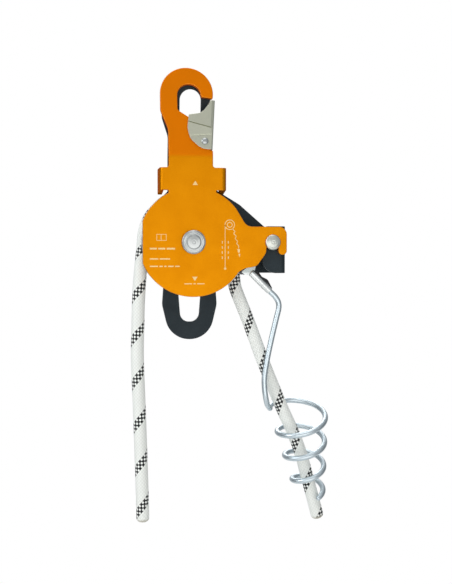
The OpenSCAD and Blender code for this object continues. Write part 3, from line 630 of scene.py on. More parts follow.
# %% Turn round parts and finish pieces
def lathe(profile, centre=(0, 0), sides=72, place=lambda p: p):
    """A (radius, y) profile turned round the Y axis through centre. A profile may start and end on the axis."""
    vertices, faces, starts = [], [], []
    for r, y in profile:
        starts.append((len(vertices), r > 1e-6))
        count = sides if r > 1e-6 else 1
        for k in range(count):
            angle = 2 * math.pi * k / sides
            vertices.append(tuple(place(Vector((centre[0] + r * math.cos(angle), y, centre[1] + r * math.sin(angle))))))
    for i in range(len(profile)):
        (a, a_ring), (b, b_ring) = starts[i], starts[(i + 1) % len(profile)]
        if not a_ring and not b_ring:
            continue
        for k in range(sides):
            n = (k + 1) % sides
            if a_ring and b_ring:
                faces.append([a + k, a + n, b + n, b + k])
            elif a_ring:
                faces.append([a + k, a + n, b])
            else:
                faces.append([a, b + n, b + k])
    return vertices, faces, [0.0] * len(vertices)


def soft(corners, radius):
    """A closed profile with every corner off the axis a little rounded."""
    return rounded([(*c[:2], c[2] if len(c) > 2 else (radius if c[0] > 1e-6 else 0)) for c in corners], 22.5)


def plain_copy(thing):
    """The object's evaluated mesh as a plain mesh, with its modifiers gone."""
    mesh = bpy.data.meshes.new_from_object(thing.evaluated_get(bpy.context.evaluated_depsgraph_get()))
    thing.modifiers.clear()
    thing.data = mesh
    return mesh


def piece(name, body, finish, replaced, *shells, sharp=42):
    """One finished object out of shells in millimetres from the axle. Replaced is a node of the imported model, or nothing."""
    vertices, faces, wear_and_sheen_amount = [], [], []
    for points, polygons, edges in shells:
        start = len(vertices)
        vertices += [from_axle(*p) for p in points]
        faces += [[start + i for i in f] for f in polygons]
        wear_and_sheen_amount += edges
    mesh = bpy.data.meshes.new(name)
    mesh.from_pydata(vertices, [], faces)
    mesh.attributes.new("edge", "FLOAT", "POINT").data.foreach_set("value", wear_and_sheen_amount)
    shape = bmesh.new()
    shape.from_mesh(mesh)
    bmesh.ops.recalc_face_normals(shape, faces=shape.faces)
    loose = sum(not e.is_manifold for e in shape.edges)
    shape.to_mesh(mesh)
    shape.free()
    mesh.shade_smooth()
    mesh.set_sharp_from_angle(angle=math.radians(sharp))
    thing = bpy.data.objects.new(name, mesh)
    scene.collection.objects.link(thing)
    weighted = thing.modifiers.new("weighted", "WEIGHTED_NORMAL")
    weighted.keep_sharp = True
    plain_copy(thing).materials.append(finishes[finish])
    thing.data.name = name
    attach(thing, body)
    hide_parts(*([replaced] if replaced else []))
    print(f"{name}: {len(thing.data.polygons)} faces, {loose} open edges")


# %% [markdown]
# ## The front plate
# The orange plate is pressed from 4 mm sheet. Two ears fold backwards to guide the rope, the neck leans towards the
# middle plane, and the eye is an open hook that the gate closes. Its arm ends in a slot that drops over the lever's pin.
# One outline follows all of it, so the bends and the rounded edges run through as they do in one piece of sheet.

# %% Set the plates' sizes
PLATE = 4.0
OUTER = 17.0
BEND_UP = 77.0
LEAN = 8.5
EYE_UP = (AXLE_DOWN - BEND_UP) / math.cos(math.radians(LEAN))
BEND_LENGTH = 5.0
EDGE = 0.55
HOLE_R = 9.75
GATE_PIVOT = (10.3, 12.8)
neck_bend = [(0, BEND_LENGTH / math.radians(LEAN), LEAN)]
neck_cuts = [((0, BEND_UP - BEND_LENGTH / 2 + BEND_LENGTH * i / 4), (0, 1)) for i in range(5)]
DISC, REAR_DISC = 49.0, 47.5


def leaning(side):
    """Carries a point with height z past the neck's bend. Depth is from the outer face, and side is -1 at the front."""
    def place(across, up, depth):
        low = BEND_UP - BEND_LENGTH / 2
        rise, depth = bent(up - low, depth, neck_bend) if up > low else (up - low, depth)
        return Vector((across, side * (OUTER - depth), low + rise))
    return place


# %% Draw and fold the front plate
EAR_FOLD, EAR_R, EAR_LONG = 25.5, 4.5, 19.5
EAR_LOW, EAR_TOP = 43, 66.4
ear_slope = EAR_FOLD + EAR_R * math.pi / 2 + 1
ear_end = EAR_FOLD + EAR_R * math.pi / 2 + EAR_LONG
hook = BEND_UP + EYE_UP
front_outline = rounded(
    [(-45.2, -18.92, 4)] + arc((0, 0), DISC, 206, 324)
    + [(41, -26.83, 8), (46, -23.6, 13), (57.5, -21.6, 7), (66.35, -9.3, 9), (66.35, 5.45, 5.42), (77.25, 5.45, 5.42),
       (77.25, -11.3, 3.8), (85, -11.3, 3.8), (85, 14, 7), (48.5, 14, 9), (38.72, 30.03)]
    + arc((0, 0), DISC, 41, 63.5)
    + [(20.7, 44.41, 0.9), (20.7, 46.2, 0.7), (ear_slope, 46.2, 3), (ear_end, EAR_LOW, 1.6), (ear_end, EAR_TOP, 1.6),
       (17.7, EAR_TOP, 2.2), (17.7, 81.8, 0.9), (15.4, 81.8, 0.9), (14.3, 94.8, 3.2), (5.9, 95.8, 4),
       (-2.5, hook - 21.2, 5), (-13.45, hook - 14.2, 3.5)]
    + arc((-2.85, hook - 0.8), HOLE_R + 0.85, 180, 19)
    + [(8.1, hook - 1.9, 2.5), (18.5, hook - 3.4, 1.0)]
    + arc((-5, hook + 1), 23.8, 0, 180)
    + [(-28.8, BEND_UP + 41, 12), (-22, BEND_UP + 24, 16), (-22, EAR_TOP, 2.2), (-ear_end, EAR_TOP, 1.6),
       (-ear_end, EAR_LOW, 1.6), (-ear_slope, 46.2, 3), (-22, 46.2, 0.7), (-22, 43.78, 0.9)]
    + arc((0, 0), DISC, 119, 154) + [(-45.2, 18.92, 4)])
ear_cuts = [((side * (EAR_FOLD + EAR_R * math.pi / 2 * i / 8), 0), (1, 0)) for side in (-1, 1) for i in range(9)]
lean_front = leaning(-1)


def fold_front(p):
    across, depth = abs(p.x), p.z
    if across > EAR_FOLD and EAR_LOW - 0.5 < p.y < EAR_TOP + 1.1:
        run, depth = bent(across - EAR_FOLD, depth, [(0, EAR_R, 90)])
        across = EAR_FOLD + run
    return lean_front(math.copysign(across, p.x), p.y, depth)


front_holes = [hole((0, 0), 8.02), hole((GATE_PIVOT[0], BEND_UP + GATE_PIVOT[1]), 2.02, 15)]
front_shape = blank([front_outline, *front_holes], PLATE, EDGE, ear_cuts + neck_cuts)
piece("front_side_plate", "front_plate", "orange_anodised", "front_plate", shell(front_shape, fold_front))

# %% [markdown]
# ## The rear plate
# The black plate is the one the load hangs on. It has the closed anchor eye, the lower eye, and an arm that folds forwards
# and back again to hold both ends of the lever's pin.

# %% Draw and fold the rear plate
BRACKET_X, FOLD_R, WEB_LONG, FLANGE_LONG = 80.3, 4.5, 20.8, 16.8
BRACKET_LOW, BRACKET_TOP = -27.9, 14.6
flange_end = BRACKET_X + FOLD_R * math.pi + WEB_LONG + FLANGE_LONG
flange_pin = flange_end - FLANGE_LONG + (BRACKET_X - PIN_X)
rear_outline = rounded(
    [(-17.6, -89, 21.8), (17.6, -89, 21.8), (25.3, -57, 16), (24.15, -41, 1.5)] + arc((0, 0), REAR_DISC, -57, -34)
    + [(40.3, -25.2, 1.5), (50, -16, 11.9), (62, BRACKET_LOW, 8.9), (flange_end, BRACKET_LOW, 12.4),
       (flange_end, BRACKET_TOP, 5), (70.3, BRACKET_TOP, 4), (46.5, 35.3, 14), (17.7, 52.6, 0.8), (17.7, BEND_UP + 28, 20)]
    + arc((-3.5, hook + 1), 22.3, 0, 180)
    + [(-25.8, BEND_UP + 37, 12), (-20, BEND_UP + 20, 16), (-20, 47, 0.8)] + arc((0, 0), REAR_DISC, 128.4, 237)
    + [(-24.15, -41, 1.5), (-25.3, -57, 16)])
becket_hole = rounded([(-10.6, -43, 5), (-8.3, -72.7, 8.2), (8.3, -72.7, 8.2), (10.6, -43, 5)])
SLOT_TOP, SLOT_LOW, SLOT_R = hook + 7.35, hook - 21.8, 9.7
eye_slot = rounded([(-HOLE_R, SLOT_TOP, SLOT_R), (-HOLE_R, SLOT_LOW, SLOT_R),
                    (HOLE_R, SLOT_LOW, SLOT_R), (HOLE_R, SLOT_TOP, SLOT_R)])
bracket_bends = [(0, FOLD_R, 90), (WEB_LONG, FOLD_R, 90)]
web_start = BRACKET_X + FOLD_R * math.pi / 2 + WEB_LONG
bracket_cuts = [((start + FOLD_R * math.pi / 2 * i / 8, 0), (1, 0)) for start in (BRACKET_X, web_start) for i in range(9)]
lean_rear = leaning(1)


def fold_rear(p):
    if p.x <= BRACKET_X:
        return lean_rear(p.x, p.y, p.z)
    run, depth = bent(p.x - BRACKET_X, p.z, bracket_bends)
    return Vector((BRACKET_X + run, OUTER - depth, p.y))


round_holes = [hole((0, 0), 6.02), hole(PIN, 5.02), hole((flange_pin, 0), 5.02)]
rear_shape = blank([rear_outline, becket_hole, eye_slot, *round_holes], PLATE, EDGE, bracket_cuts + neck_cuts)
piece("rear_side_plate", "frame", "black_anodised", "rear_plate", shell(rear_shape, fold_rear))

# %% [markdown]
# ## The gate
# The gate is a channel of thin sheet that straddles the hook. It is folded along a line that leans with its web, and each
# cheek has a joggle pressed into it, a sloping band between two creases, which lets its upper part stand clear of the plate.

# %% Draw and fold the gate
GATE_T, GATE_OUT, GATE_R = 1.4, 1.8, 1.7
FOLD_FROM = Vector((16, 8))
fold_up = Vector((3.2, 47.2)).normalized()
fold_right = Vector((fold_up.y, -fold_up.x))
GATE_DEEP = PLATE + 2 * GATE_OUT
STRAIGHT = GATE_DEEP - 2 * GATE_R
FOLD_START = GATE_T - GATE_R
gate_middle = FOLD_START + GATE_R * math.pi / 2 + STRAIGHT / 2
JOGGLE, RIDGE, GROOVE, CREASE_HALF = 0.5, 0.45, 0.9, 0.5
FADE = 1.2


def on_fold(x, up):
    """A point of the cheek as (across the fold, along the fold)."""
    d = Vector((x, up)) - FOLD_FROM
    return d.dot(fold_right), d.dot(fold_up)


cheek = [(7.2, 5.8, 14), (-2.8, 14.9, 12), (-5.3, 24.6, 15), (-3.6, EYE_UP - 18.6, 1.5), (8, EYE_UP - 17.0, 10),
         (15.2, EYE_UP - 8, 6), (15.6, 50.2, 0.9)]
cheek_flat = [(*on_fold(x, up), r) for x, up, r in cheek]
other_flat = [(2 * gate_middle - s, t, r) for s, t, r in reversed(cheek_flat)]
gate_outline = rounded(cheek_flat + [(gate_middle, 42.9, 6)] + other_flat + [(gate_middle, -2.7, 6)], 10)
upper_crease = on_fold(-4, 30.6), on_fold(16.1, 25.3)
lower_crease = on_fold(-1.6, 17.6), on_fold(13.7, 18.8)


def line_cut(a, b, flip):
    """A cut along the line through a and b, on the front cheek or mirrored onto the rear one."""
    points = [Vector(((2 * gate_middle - s) if flip else s, t)) for s, t in (a, b)]
    d = points[1] - points[0]
    return (tuple(points[0]), (-d.y, d.x))


def height_of(line, s):
    (s0, t0), (s1, t1) = line
    return t0 + (t1 - t0) * (s - s0) / (s1 - s0)


def fold_gate(p):
    s = min(p.x, 2 * gate_middle - p.x)
    low, high = height_of(lower_crease, s), height_of(upper_crease, s)
    lift = JOGGLE * max(0.0, min(1.0, (p.y - low) / max(0.5, high - low)))
    lift += RIDGE * max(0.0, 1 - abs(p.y - low) / CREASE_HALF) - GROOVE * max(0.0, 1 - abs(p.y - high) / CREASE_HALF)
    lift *= max(0.0, min(1.0, (FOLD_START - s) / FADE))
    run, depth = bent(p.x - FOLD_START, p.z - lift, [(0, GATE_R, 90), (STRAIGHT, GATE_R, 90)])
    spot = FOLD_FROM + fold_right * (FOLD_START + run) + fold_up * p.y
    return in_lean(spot.x, depth - GATE_OUT, spot.y)


def in_lean(x, depth, up):
    """A point of the leaning front neck: depth from its outer face, and up from the bend."""
    c, s = math.cos(math.radians(LEAN)), math.sin(math.radians(LEAN))
    return Vector((x, -OUTER + depth * c + up * s, BEND_UP - depth * s + up * c))


gate_cuts = [line_cut(*[(s, t + shift) for s, t in line], flip) for line in (upper_crease, lower_crease)
             for shift in (-CREASE_HALF, 0, CREASE_HALF) for flip in (False, True)]
gate_cuts += [((start + GATE_R * math.pi / 2 * i / 6, 0), (1, 0))
              for start in (FOLD_START, gate_middle + STRAIGHT / 2) for i in range(7)]
gate_cuts += [((s, 0), (1, 0)) for s in (FOLD_START - FADE, 2 * gate_middle - FOLD_START + FADE)]
rivet_across, rivet_up = on_fold(*GATE_PIVOT)
gate_holes = [hole((s, rivet_up), 2.06, 15) for s in (rivet_across, 2 * gate_middle - rivet_across)]
gate_shape = blank([gate_outline, *gate_holes], GATE_T, 0.3, gate_cuts, 2)
piece("gate", "gate", "gate_steel", "gate", shell(gate_shape, fold_gate), sharp=20)

# %% Head the gate's rivet
rivet_profile = soft([(0, -3.3), (1.2, -3.25, 0.5), (2.5, -2.9, 1.0), (3.2, -2.2, 0.5), (3.2, -1.9, 0.1), (2, -1.9, 0),
                      (2, 5.9, 0), (3.2, 5.9, 0.1), (3.0, 6.8, 0.3), (0, 6.9)], 0.1)
piece("gate_rivet", "front_plate", "zinc_steel", "gate_rivet",
      lathe(rivet_profile, GATE_PIVOT, 40, lambda p: in_lean(p.x, p.y, p.z)))

# %% [markdown]
# ## Axle, sheave and bearing
# These are turned parts, so each is a profile turned round the axle. The profile holds the chamfers, dimples and grooves that
# catch the light, and the shader adds the rings that the tool leaves.

# %% Turn the axle and what sits on it
AXLE_R, NUT_ACROSS = 6.02, 17
axle_profile = soft([(0, -21.55), (1.1, -21.5, 0.3), (1.5, -21.3, 0.3), (2.2, -21.45, 0.5), (5.6, -21.1, 0.7), (6.7, -20.5, 0.5),
                     (8.0, -20.45, 0.3), (8.3, -20.2, 0.2), (9.1, -20.2, 0.3), (10.75, -19.4, 0.7), (10.75, -18.1, 0.3),
                     (6, -18.1, 0), (6, 17.0, 0), (5, 17.01, 0), (5, 23.5, 0.3), (4.2, 24.3, 0.1), (0, 24.3)], 0.2)
piece("axle", "frame", "axle_zinc", "axle", lathe(axle_profile, sides=96))
nut_flat = rounded([(x, y, 0.8) for x, y in hole((0, 0), NUT_ACROSS / math.sqrt(3), 60)], 15)
piece("axle_nut", "frame", "zinc_steel", "axle_nut", sheet([nut_flat, hole((0, 0), 5.02)], 5.5, 0.5, 17.8))


def collar(inner, outer, front, back, edge):
    """A plain ring between two depths."""
    return lathe(soft([(inner, front), (outer, front), (outer, back), (inner, back)], edge))


piece("washers", "frame", "axle_zinc", "axle_washers",
      *[collar(r, 9.85, y, y + 0.78, 0.2) for r, y in ((AXLE_R, -18.09), (5.02, 17.01))])
piece("spacers", "frame", "plain_alloy", "axle_spacers",
      collar(AXLE_R, 8.6, -12.7, -7.0, 0.3), collar(AXLE_R, 8.6, 7.0, 13.0, 0.3))
piece("front_bush", "front_plate", "bush_bronze", "front_plate_bush", collar(6.06, 8.0, -17.1, -12.9, 0.3))

# %% Turn the sheave
ROPE_R_ON_SHEAVE, GROOVE_R = 43.5, 6.35
groove = arc((ROPE_R_ON_SHEAVE, 0), GROOVE_R, 256, 104, 8)
sheave_profile = rounded(
    [(14.4, -8.5, 0.4), (21, -10, 0.8), (22, -5, 1.5), (32.1, -5, 1.5), (34.2, -11, 0.8), (46, -11, 0.7), (46, -8.0, 0.8)]
    + groove
    + [(46, 8.0, 0.8), (46, 11, 0.7), (34.2, 11, 0.8), (32.1, 5, 1.5), (22, 5, 1.5), (21, 10, 0.8),
       (16.02, 10, 0.4), (16.02, 8.25), (17, 8.25), (17, 7.0), (16.02, 7.0), (16.02, -7.01), (14.4, -7.01, 0.2)], 15)
piece("sheave", "sheave", "plain_alloy", "sheave", lathe(sheave_profile, sides=128))


# %% Turn the bearing's rings
PITCH_R, TRACK_R, INNER_R, OUTER_R = 11.0, 3.2, 8.8, 13.2


def track(side, edge_r):
    """The balls' groove in a race, as (radius, y) points, cut from the edge at edge_r. side is 1 for the outer race."""
    half = math.degrees(math.acos(min(1, abs(edge_r - PITCH_R) / TRACK_R)))
    angles = [math.radians(a) for a in np.linspace(-half, half, 13)]
    return [(PITCH_R + side * TRACK_R * math.cos(a), TRACK_R * math.sin(a)) for a in angles]


inner_corners = [(AXLE_R, 7, 0.4), (AXLE_R, -7, 0.4), (INNER_R, -7, 0.3)] + track(-1, INNER_R) + [(INNER_R, 7, 0.3)]
outer_corners = [(16, -7, 0.5), (16, 7, 0.5), (OUTER_R, 7, 0.3)] + track(1, OUTER_R)[::-1] + [(OUTER_R, -7, 0.3)]
piece("inner_race", "frame", "bearing_steel", "inner_race", lathe(rounded(inner_corners, 30)))
piece("outer_race", "sheave", "bearing_steel", "outer_race", lathe(rounded(outer_corners, 30)))


def shield(y, web):
    """A shield with its front face at y. A groove in its back leaves it only web thick between two rims."""
    face = y + web
    return lathe(soft([(9.1, y), (13.18, y), (13.18, y + 0.6), (12.2, y + 0.6), (11.9, face), (10.4, face),
                       (10.1, y + 0.6), (9.1, y + 0.6)], 0.1))


piece("bearing_shields", "sheave", "dark_steel", "bearing_shields", shield(-6.8, 0.25), shield(6.2, 0.45))
circlip_loop = arc((0, 0), 16.85, -83, 263, 6) + arc((0, 0), 14.45, 261, -81, 6)
piece("bearing_circlip", "sheave", "spring_steel", "bearing_circlip", sheet([circlip_loop], 1.16, 0.2, 7.03))

# %% [markdown]
# ## The balls
# Seven balls stand evenly in a ring, so Geometry Nodes place copies of one ball on the corners of a circle. Realize Instances
# turns them into real geometry before the result becomes a plain mesh.

# %% Build the ring of balls
SHAPE = ("Geometry", "Geometry")


def run_tree(thing, tree, **values):
    """Adds the tree to the object, sets its inputs by their identifiers, and returns the result as a plain mesh."""
    modifier = thing.modifiers.new(tree.name, "NODES")
    modifier.node_group = tree
    sockets = [item for item in tree.interface.items_tree if item.item_type == "SOCKET" and item.in_out == "INPUT"]
    identifiers = {socket.name: socket.identifier for socket in sockets}
    for label, value in values.items():
        modifier[identifiers[label.replace("_", " ")]] = value
    return plain_copy(thing)


ball_ring, given, put = node_group(
    "Geometry", "ball_ring",
    [SHAPE, ("Balls", "Int", 7), ("Pitch radius", "Float", 0.011), ("Ball radius", "Float", 0.003), ("Material", "Material")],
    [SHAPE])
circle = add(ball_ring, "GeometryNodeMeshCircle", {"Vertices": given["Balls"], "Radius": given["Pitch radius"]})
one_ball = add(ball_ring, "GeometryNodeMeshIcoSphere", {"Radius": given["Ball radius"], "Subdivisions": 4})
copies = add(ball_ring, "GeometryNodeInstanceOnPoints", {"Points": circle.outputs[0], "Instance": one_ball.outputs[0]})
real = add(ball_ring, "GeometryNodeRealizeInstances", {0: copies.outputs[0]})
smooth = add(ball_ring, "GeometryNodeSetShadeSmooth", {0: real.outputs[0]})
upright = add(ball_ring, "GeometryNodeTransform",
              {"Geometry": smooth.outputs[0], "Translation": AXLE, "Rotation": (math.pi / 2, 0, 0)})
painted = add(ball_ring, "GeometryNodeSetMaterial", {"Geometry": upright.outputs[0], "Material": given["Material"]})
ball_ring.links.new(painted.outputs[0], put[0])

balls = bpy.data.objects.new("bearing_balls", bpy.data.meshes.new("bearing_balls"))
scene.collection.objects.link(balls)
bearing_steel = finishes["bearing_steel"]
run_tree(balls, ball_ring, Balls=7, Pitch_radius=PITCH_R * MM, Ball_radius=0.003, Material=bearing_steel)
if bearing_steel.name not in balls.data.materials:
    balls.data.materials.append(bearing_steel)
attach(balls, "sheave")
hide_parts("bearing_balls")
print("balls:", len(balls.data.polygons), "faces")

# %% [markdown]
# ## Wires and springs
# The guide is one length of wire, which leaves its socket, turns down and then winds round the rope in a tapering coil. Both
# springs are wire too. One Geometry Nodes tree sweeps a circle along a line of points, and an attribute on the points narrows
# the wire at its ends, which leaves them rounded.

# %% Build the wire tree
wire_tree, given, put = node_group(
    "Geometry", "wire", [SHAPE, ("Wire radius", "Float", 0.001), ("Sides", "Int", 16), ("Material", "Material")], [SHAPE])
spine = add(wire_tree, "GeometryNodeMeshToCurve", {0: given["Geometry"]})
girth = add(wire_tree, "GeometryNodeInputNamedAttribute", {"Name": "girth"}, data_type="FLOAT")
profile = add(wire_tree, "GeometryNodeCurvePrimitiveCircle", {"Resolution": given["Sides"], "Radius": given["Wire radius"]})
narrowed = add(wire_tree, "GeometryNodeSetCurveRadius", {0: spine.outputs[0], "Radius": girth.outputs[0]})
swept = add(wire_tree, "GeometryNodeCurveToMesh",
            {"Curve": narrowed.outputs[0], "Profile Curve": profile.outputs[0], "Fill Caps": True})
if "Scale" in swept.inputs:
    wire_tree.links.new(girth.outputs[0], swept.inputs["Scale"])
rounded_wire = add(wire_tree, "GeometryNodeSetShadeSmooth", {0: swept.outputs[0]})
realized = add(wire_tree, "GeometryNodeRealizeInstances", {0: rounded_wire.outputs[0]})
coated = add(wire_tree, "GeometryNodeSetMaterial", {"Geometry": realized.outputs[0], "Material": given["Material"]})
wire_tree.links.new(coated.outputs[0], put[0])


def wire(name, body, finish, replaced, line, diameter, sides, step=0.8):
    """A wire along a line of points in millimetres from the axle, with rounded ends."""
    spine, along = even_steps(np.array(line, float), step)
    radius = diameter / 2
    for depth in (0.12, 0.35, 0.65):
        cut = radius * depth
        for at in (cut, along[-1] - cut):
            i = int(np.searchsorted(along, at))
            spot = [np.interp(at, along, spine[:, k]) for k in range(3)]
            spine, along = np.insert(spine, i, spot, 0), np.insert(along, i, at)
    end = np.minimum(along, along[-1] - along)
    size = np.sqrt(np.clip(1 - np.clip(1 - end / radius, 0, 1) ** 2, 0.06, 1))
    mesh = bpy.data.meshes.new(name)
    mesh.from_pydata([from_axle(*p) for p in spine], [(i, i + 1) for i in range(len(spine) - 1)], [])
    mesh.attributes.new("girth", "FLOAT", "POINT").data.foreach_set("value", size.astype(np.float32))
    thing = bpy.data.objects.new(name, mesh)
    scene.collection.objects.link(thing)
    material = finishes[finish]
    result = run_tree(thing, wire_tree, Wire_radius=radius * MM, Sides=sides, Material=material)
    shape = bmesh.new()
    shape.from_mesh(result)
    bmesh.ops.remove_doubles(shape, verts=shape.verts, dist=1e-7)
    bmesh.ops.recalc_face_normals(shape, faces=shape.faces)
    shape.to_mesh(result)
    shape.free()
    if not result.materials:
        result.materials.append(material)
    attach(thing, body)
    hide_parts(replaced)
    print(f"{name}: {len(result.polygons)} faces")


# %% Bend the guide wire
WIRE_Y = -9.2
WIRE_LEAD = [(x, WIRE_Y, z) for x, z in (
    (55.2, -28.8), (63.2, -36.8), (71.2, -44.8), (76, -49.6), (78.8, -54.6), (79.1, -60.2), (77.1, -68.5),
    (72.4, -88), (68.4, -107), (66, -122), (66, -132))] + [(67.1, -8.6, -140), (69.2, -6, -148)]
COIL_TURNS, COIL_R, COIL_TAPER, COIL_PITCH, COIL_SHIFT, COIL_SLOPE = 3.7, 26, 3.8, 22.5, 3.2, 15


def coil_point(turns):
    radius = COIL_R - COIL_TAPER * turns
    dx, dy = -radius * math.cos(2 * math.pi * turns), radius * math.sin(2 * math.pi * turns)
    rise = dy * math.tan(math.radians(COIL_SLOPE)) + dx * 0.1
    return (99 + COIL_SHIFT * turns + dx, dy, -150.2 - COIL_PITCH * turns + rise)


coil = [coil_point(t / 60) for t in range(int(COIL_TURNS * 60) + 1)]
guide_line = list(map(tuple, smooth_line(WIRE_LEAD + [coil[0]], 8))) + coil[1:]
wire("guide_wire", "lever", "zinc_wire", "guide_wire", guide_line, 5.0, sides=28)

# %% Wind the two springs
GATE_TURNS, GATE_COIL = 5, 1.2
gate_spring_line = []
for t in np.linspace(0, GATE_TURNS, 121):
    out, up = GATE_COIL * math.cos(2 * math.pi * t), GATE_COIL * math.sin(2 * math.pi * t)
    gate_spring_line.append(tuple(in_lean(10.7 + 5.2 * t / GATE_TURNS, 2 + out, 20 + up)))
wire("gate_spring", "front_plate", "spring_steel", "gate_spring", gate_spring_line, 0.6, sides=10, step=0.25)
LEVER_TURNS, LEVER_COIL, LEVER_COIL_Y = 2.25, 7.05, 9.25
lever_turns = [(PIN_X - LEVER_COIL * math.sin(2 * math.pi * t), LEVER_COIL_Y + 2.9 * t / LEVER_TURNS,
                -LEVER_COIL * math.cos(2 * math.pi * t)) for t in np.linspace(0, LEVER_TURNS, 91)]
x, y, z = lever_turns[-1]
lever_spring_line = [(79, LEVER_COIL_Y, -LEVER_COIL - 0.4)] + lever_turns + [(x, y, z + 9.5)]
wire("lever_spring", "frame", "spring_steel", "lever_spring", lever_spring_line, 1.3, sides=12, step=0.4)

# %% [markdown]
# ## The brake lever
# The lever has two pressed cheeks joined by a web. They turn on the pin in a bronze bush, carry the shoe between them on two
# rivets, and hold the rolled socket that grips the wire. The socket is a sheet rolled round the wire, so it keeps its seam.

# %% Turn the lever's pin and its bush
pin_profile = soft([(0, -20.35), (0.9, -20.3, 0.3), (1.3, -20.05, 0.3), (2.0, -20.2, 0.4), (4.2, -19.75, 1.5),
                    (6.4, -18.9, 1.0), (7.1, -17.9, 0.5), (7.1, -17.4, 0.2), (5, -17.4, 0), (5, 17.1, 0), (4.2, 17.1, 0),
                    (4.2, 18.4, 0), (5, 18.4, 0.2), (4.6, 19.6, 0.2), (0, 19.6)], 0.2)
piece("lever_pin", "frame", "pin_zinc", "cam_pin", lathe(pin_profile, PIN))
clip_loop = arc(PIN, 6.8, -72, 252, 8) + arc(PIN, 4.35, 247, -67, 8)
piece("pin_clip", "frame", "spring_steel", "cam_pin_clip", sheet([clip_loop], 1.16, 0.2, 17.14))
bush_profile = soft([(5.06, -8.5), (6.0, -8.5), (6.0, 12.8), (5.06, 12.8)], 0.2)
piece("lever_bush", "lever", "bush_bronze", "lever_bush", lathe(bush_profile, PIN))

# %% Press the lever's cheeks
RIVETS = (55.2, -13), (51.2, -18.2)
cheek_loop = rounded(arc(PIN, 7.7, -128, 148, 6) + [(45.6, -20.5, 3), (43.6, -27, 2), (47.6, -30.2, 2.5), (57.2, -21.6, 2)])
cheek_loops = [cheek_loop, hole(PIN, 6.02), *[hole(spot, 1.52, 15) for spot in RIVETS]]
web_loop = rounded([(56.8, -19.5, 0.4), (57.8, -20.7, 0.4), (66.4, -13.8, 0.4), (65.3, -12.6, 0.4)])
piece("brake_lever", "lever", "dark_steel", "cam_lever", sheet(cheek_loops, 2.0, 0.35, -8.4),
      sheet(cheek_loops, 2.0, 0.35, 6.4), sheet([web_loop], 12.9, 0.1, -6.45, steps=1))
rivet_side = soft([(0, -9.2), (2, -9.0, 0.4), (2.4, -8.42, 0.1), (1.5, -8.42, 0), (1.5, 8.42, 0), (2.4, 8.42, 0.1),
                   (2, 9.0, 0.4), (0, 9.2)], 0.1)
piece("shoe_rivets", "lever", "zinc_steel", "shoe_rivets", *[lathe(rivet_side, spot, 36) for spot in RIVETS])

# %% Roll the wire's socket
SOCKET_FROM, SOCKET_LONG, SOCKET_R, SOCKET_BORE = Vector((53.2, -9.2, -26.8)), 25.0, 3.3, 2.53
SEAM, SEAM_HALF, SEAM_DEEP = 225.0, 9, 0.6
down = Vector((math.sqrt(0.5), 0, -math.sqrt(0.5)))
away = Vector((0, 1, 0))
beside = down.cross(away)


def seam_radius(angle, full):
    """The rolled tube's outer radius: full, with a narrow groove where the sheet's two edges meet."""
    gap = abs((angle - SEAM + 180) % 360 - 180)
    return full - SEAM_DEEP * max(0.0, 1 - (gap / SEAM_HALF) ** 2)


def socket_shell():
    """The rolled tube, closed at its upper end, as points, faces and edge values for piece()."""
    sides = 120
    lip = SOCKET_LONG - 5
    stations = [(0.0, 0.45), (0.35, 0.1), (0.8, 0.0), (lip - 0.2, 0.0), (lip + 0.1, 0.22), (SOCKET_LONG - 0.5, 0.22),
                (SOCKET_LONG - 0.1, 0.5)]
    angles = [360 * k / sides for k in range(sides)]
    rings = [(run, [seam_radius(a, SOCKET_R - less) for a in angles]) for run, less in stations]
    rings += [(run, [SOCKET_BORE] * sides) for run in (SOCKET_LONG, 2.2)]
    points, faces = [], []
    for run, radii in rings:
        for a, r in zip(angles, radii):
            outwards = away * math.cos(math.radians(a)) + beside * math.sin(math.radians(a))
            points.append(tuple(SOCKET_FROM + down * run + outwards * r))
    for start in range(0, len(points) - sides, sides):
        for k in range(sides):
            n = (k + 1) % sides
            faces.append([start + k, start + n, start + sides + n, start + sides + k])
    faces.append(list(range(sides)))
    faces.append(list(range(len(points) - sides, len(points))))
    return points, faces, [0.0] * len(points)


# The tongue's finish paints it a darker grey than the tube, as painted shade on the same sheet
tongue = rounded([(44, -26.6, 1), (47.6, -29.4, 2), (53.6, -29.6, 1), (56.2, -27.4, 1), (58.2, -20.6, 2), (54.9, -19, 1)])
piece("wire_socket", "lever", "socket_zinc", "rod_socket", socket_shell(), sheet([tongue], 2.09, 0.3, -8.41, way=-1))
# The leaf is steel, painted near-black as the shade it stands in behind the socket tube
leaf = rounded([(54.5, -25.7, 1), (60.2, -25.4, 3), (64.2, -31.2, 3), (69.6, -33.8, 5), (74, -42.2, 1.5), (71.6, -44.6, 1.5),
                (55.6, -29.7, 2)])
piece("release_leaf", "lever", "black_steel", "release_leaf", sheet([leaf], 1.78, 0.35, -5.88))

# %% [markdown]
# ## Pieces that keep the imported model's shape
# The brake shoe and the ball cage already have their true shape there, and both are deep inside, so they only get a finish.

# %% Finish the carried-over pieces
for name, finish in (("brake_shoe", "dark_steel"), ("ball_cage", "cage_brass")):
    nodes[name].data.materials.clear()
    nodes[name].data.materials.append(finishes[finish])
print("carried over:", [n for n, o in nodes.items() if not o.hide_render])

# %% [markdown]
# ## The plate's marks
# The marks on the front plate are engraved by laser. Plain arrows say which way up it hangs, a rope round a wheel shows how it
# is threaded, and plain bars and an empty two-part box fill the places of small print. Each stands a hair proud of the plate,
# so that it is seen from any angle.

# %% Engrave the marks
MARK_T, MARK_Y, BAR_GAP = 0.06, -OUTER - 0.03, 1.3


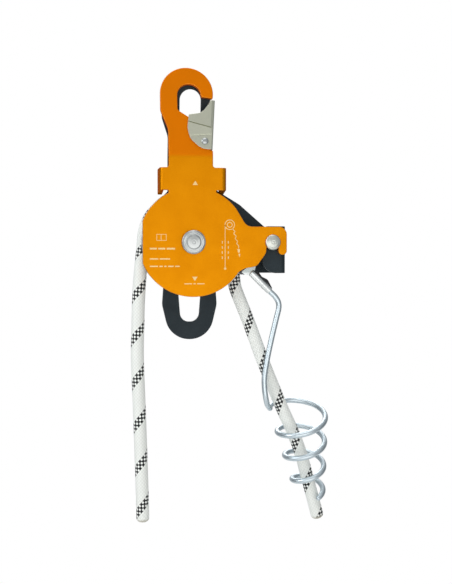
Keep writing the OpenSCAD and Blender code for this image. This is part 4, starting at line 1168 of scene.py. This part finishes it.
def stroke(a, b, width=0.6):
    """A straight line from a to b, as the loop round it."""
    a, b = Vector(a), Vector(b)
    side = Vector((a.y - b.y, b.x - a.x)).normalized() * width / 2
    return [tuple(a + side), tuple(a - side), tuple(b - side), tuple(b + side)]


def row(x, up, lengths, width):
    """A row of plain bars to the right of x, each as long as it is told."""
    bars = []
    for length in lengths:
        bars.append([stroke((x, up), (x + length, up), width)])
        x += length + BAR_GAP
    return bars


def box(left, right, low=1.6, high=6.6):
    """An upright rectangle as a loop."""
    return [(left, low), (right, low), (right, high), (left, high)]


wheel = (32.7, 15.6)
zigzag = [(34.9, 12.2), (37.5, 9.6), (36.2, 7.8), (38.6, 5.2), (37.5, 3.2), (39.8, 0.8), (38.9, -1.2), (40.9, -3.4),
          (40.6, -5.6)]
marks = [[[(-0.8, 50.8), (4, 50.8), (1.6, 54.5)]], [[(-1.3, -30.9), (3.7, -30.9), (1.2, -34.6)]],
         [hole(wheel, 4.6, 12), hole(wheel, 4.0, 12)], [hole(wheel, 2.5, 12), hole(wheel, 1.9, 12)],
         [stroke((28.5, 15.6), (28.5, -22.6))], [hole((28.5, -23.6), 1.1, 20)],
         [[(39.6, -6.2), (41.9, -6.2), (41.6, -9.2), (40.2, -9.2)]], [[(40.5, -10.4), (42.3, -10.4), (41.6, -13.6)]]]
marks += [[stroke(a, b)] for a, b in zip(zigzag, zigzag[1:])]
marks += [[box(-33, -24.2, 1.2, 7), box(-32.6, -29.2), box(-28.7, -24.6)]]
marks += row(-39, -5.9, (6.2, 6.2, 7.4), 1.5) + row(-39, -15, (7.5, 9.2), 1.1) + row(-39, -21.6, (7.2, 3, 2, 5, 4.2), 1.1)
marks += row(-8.2, -37.2, (6.8, 2, 6.6), 0.8)
marks += [[stroke((x, up), (x, up - 2.2), 0.8)] for x in (25.9, 31.4) for up in (1, -3.6, -8.2, -12.8)]
piece("plate_marks", "front_plate", "mark_pale", None,
      *[sheet(loops, MARK_T, 0.01, MARK_Y, steps=1) for loops in marks])
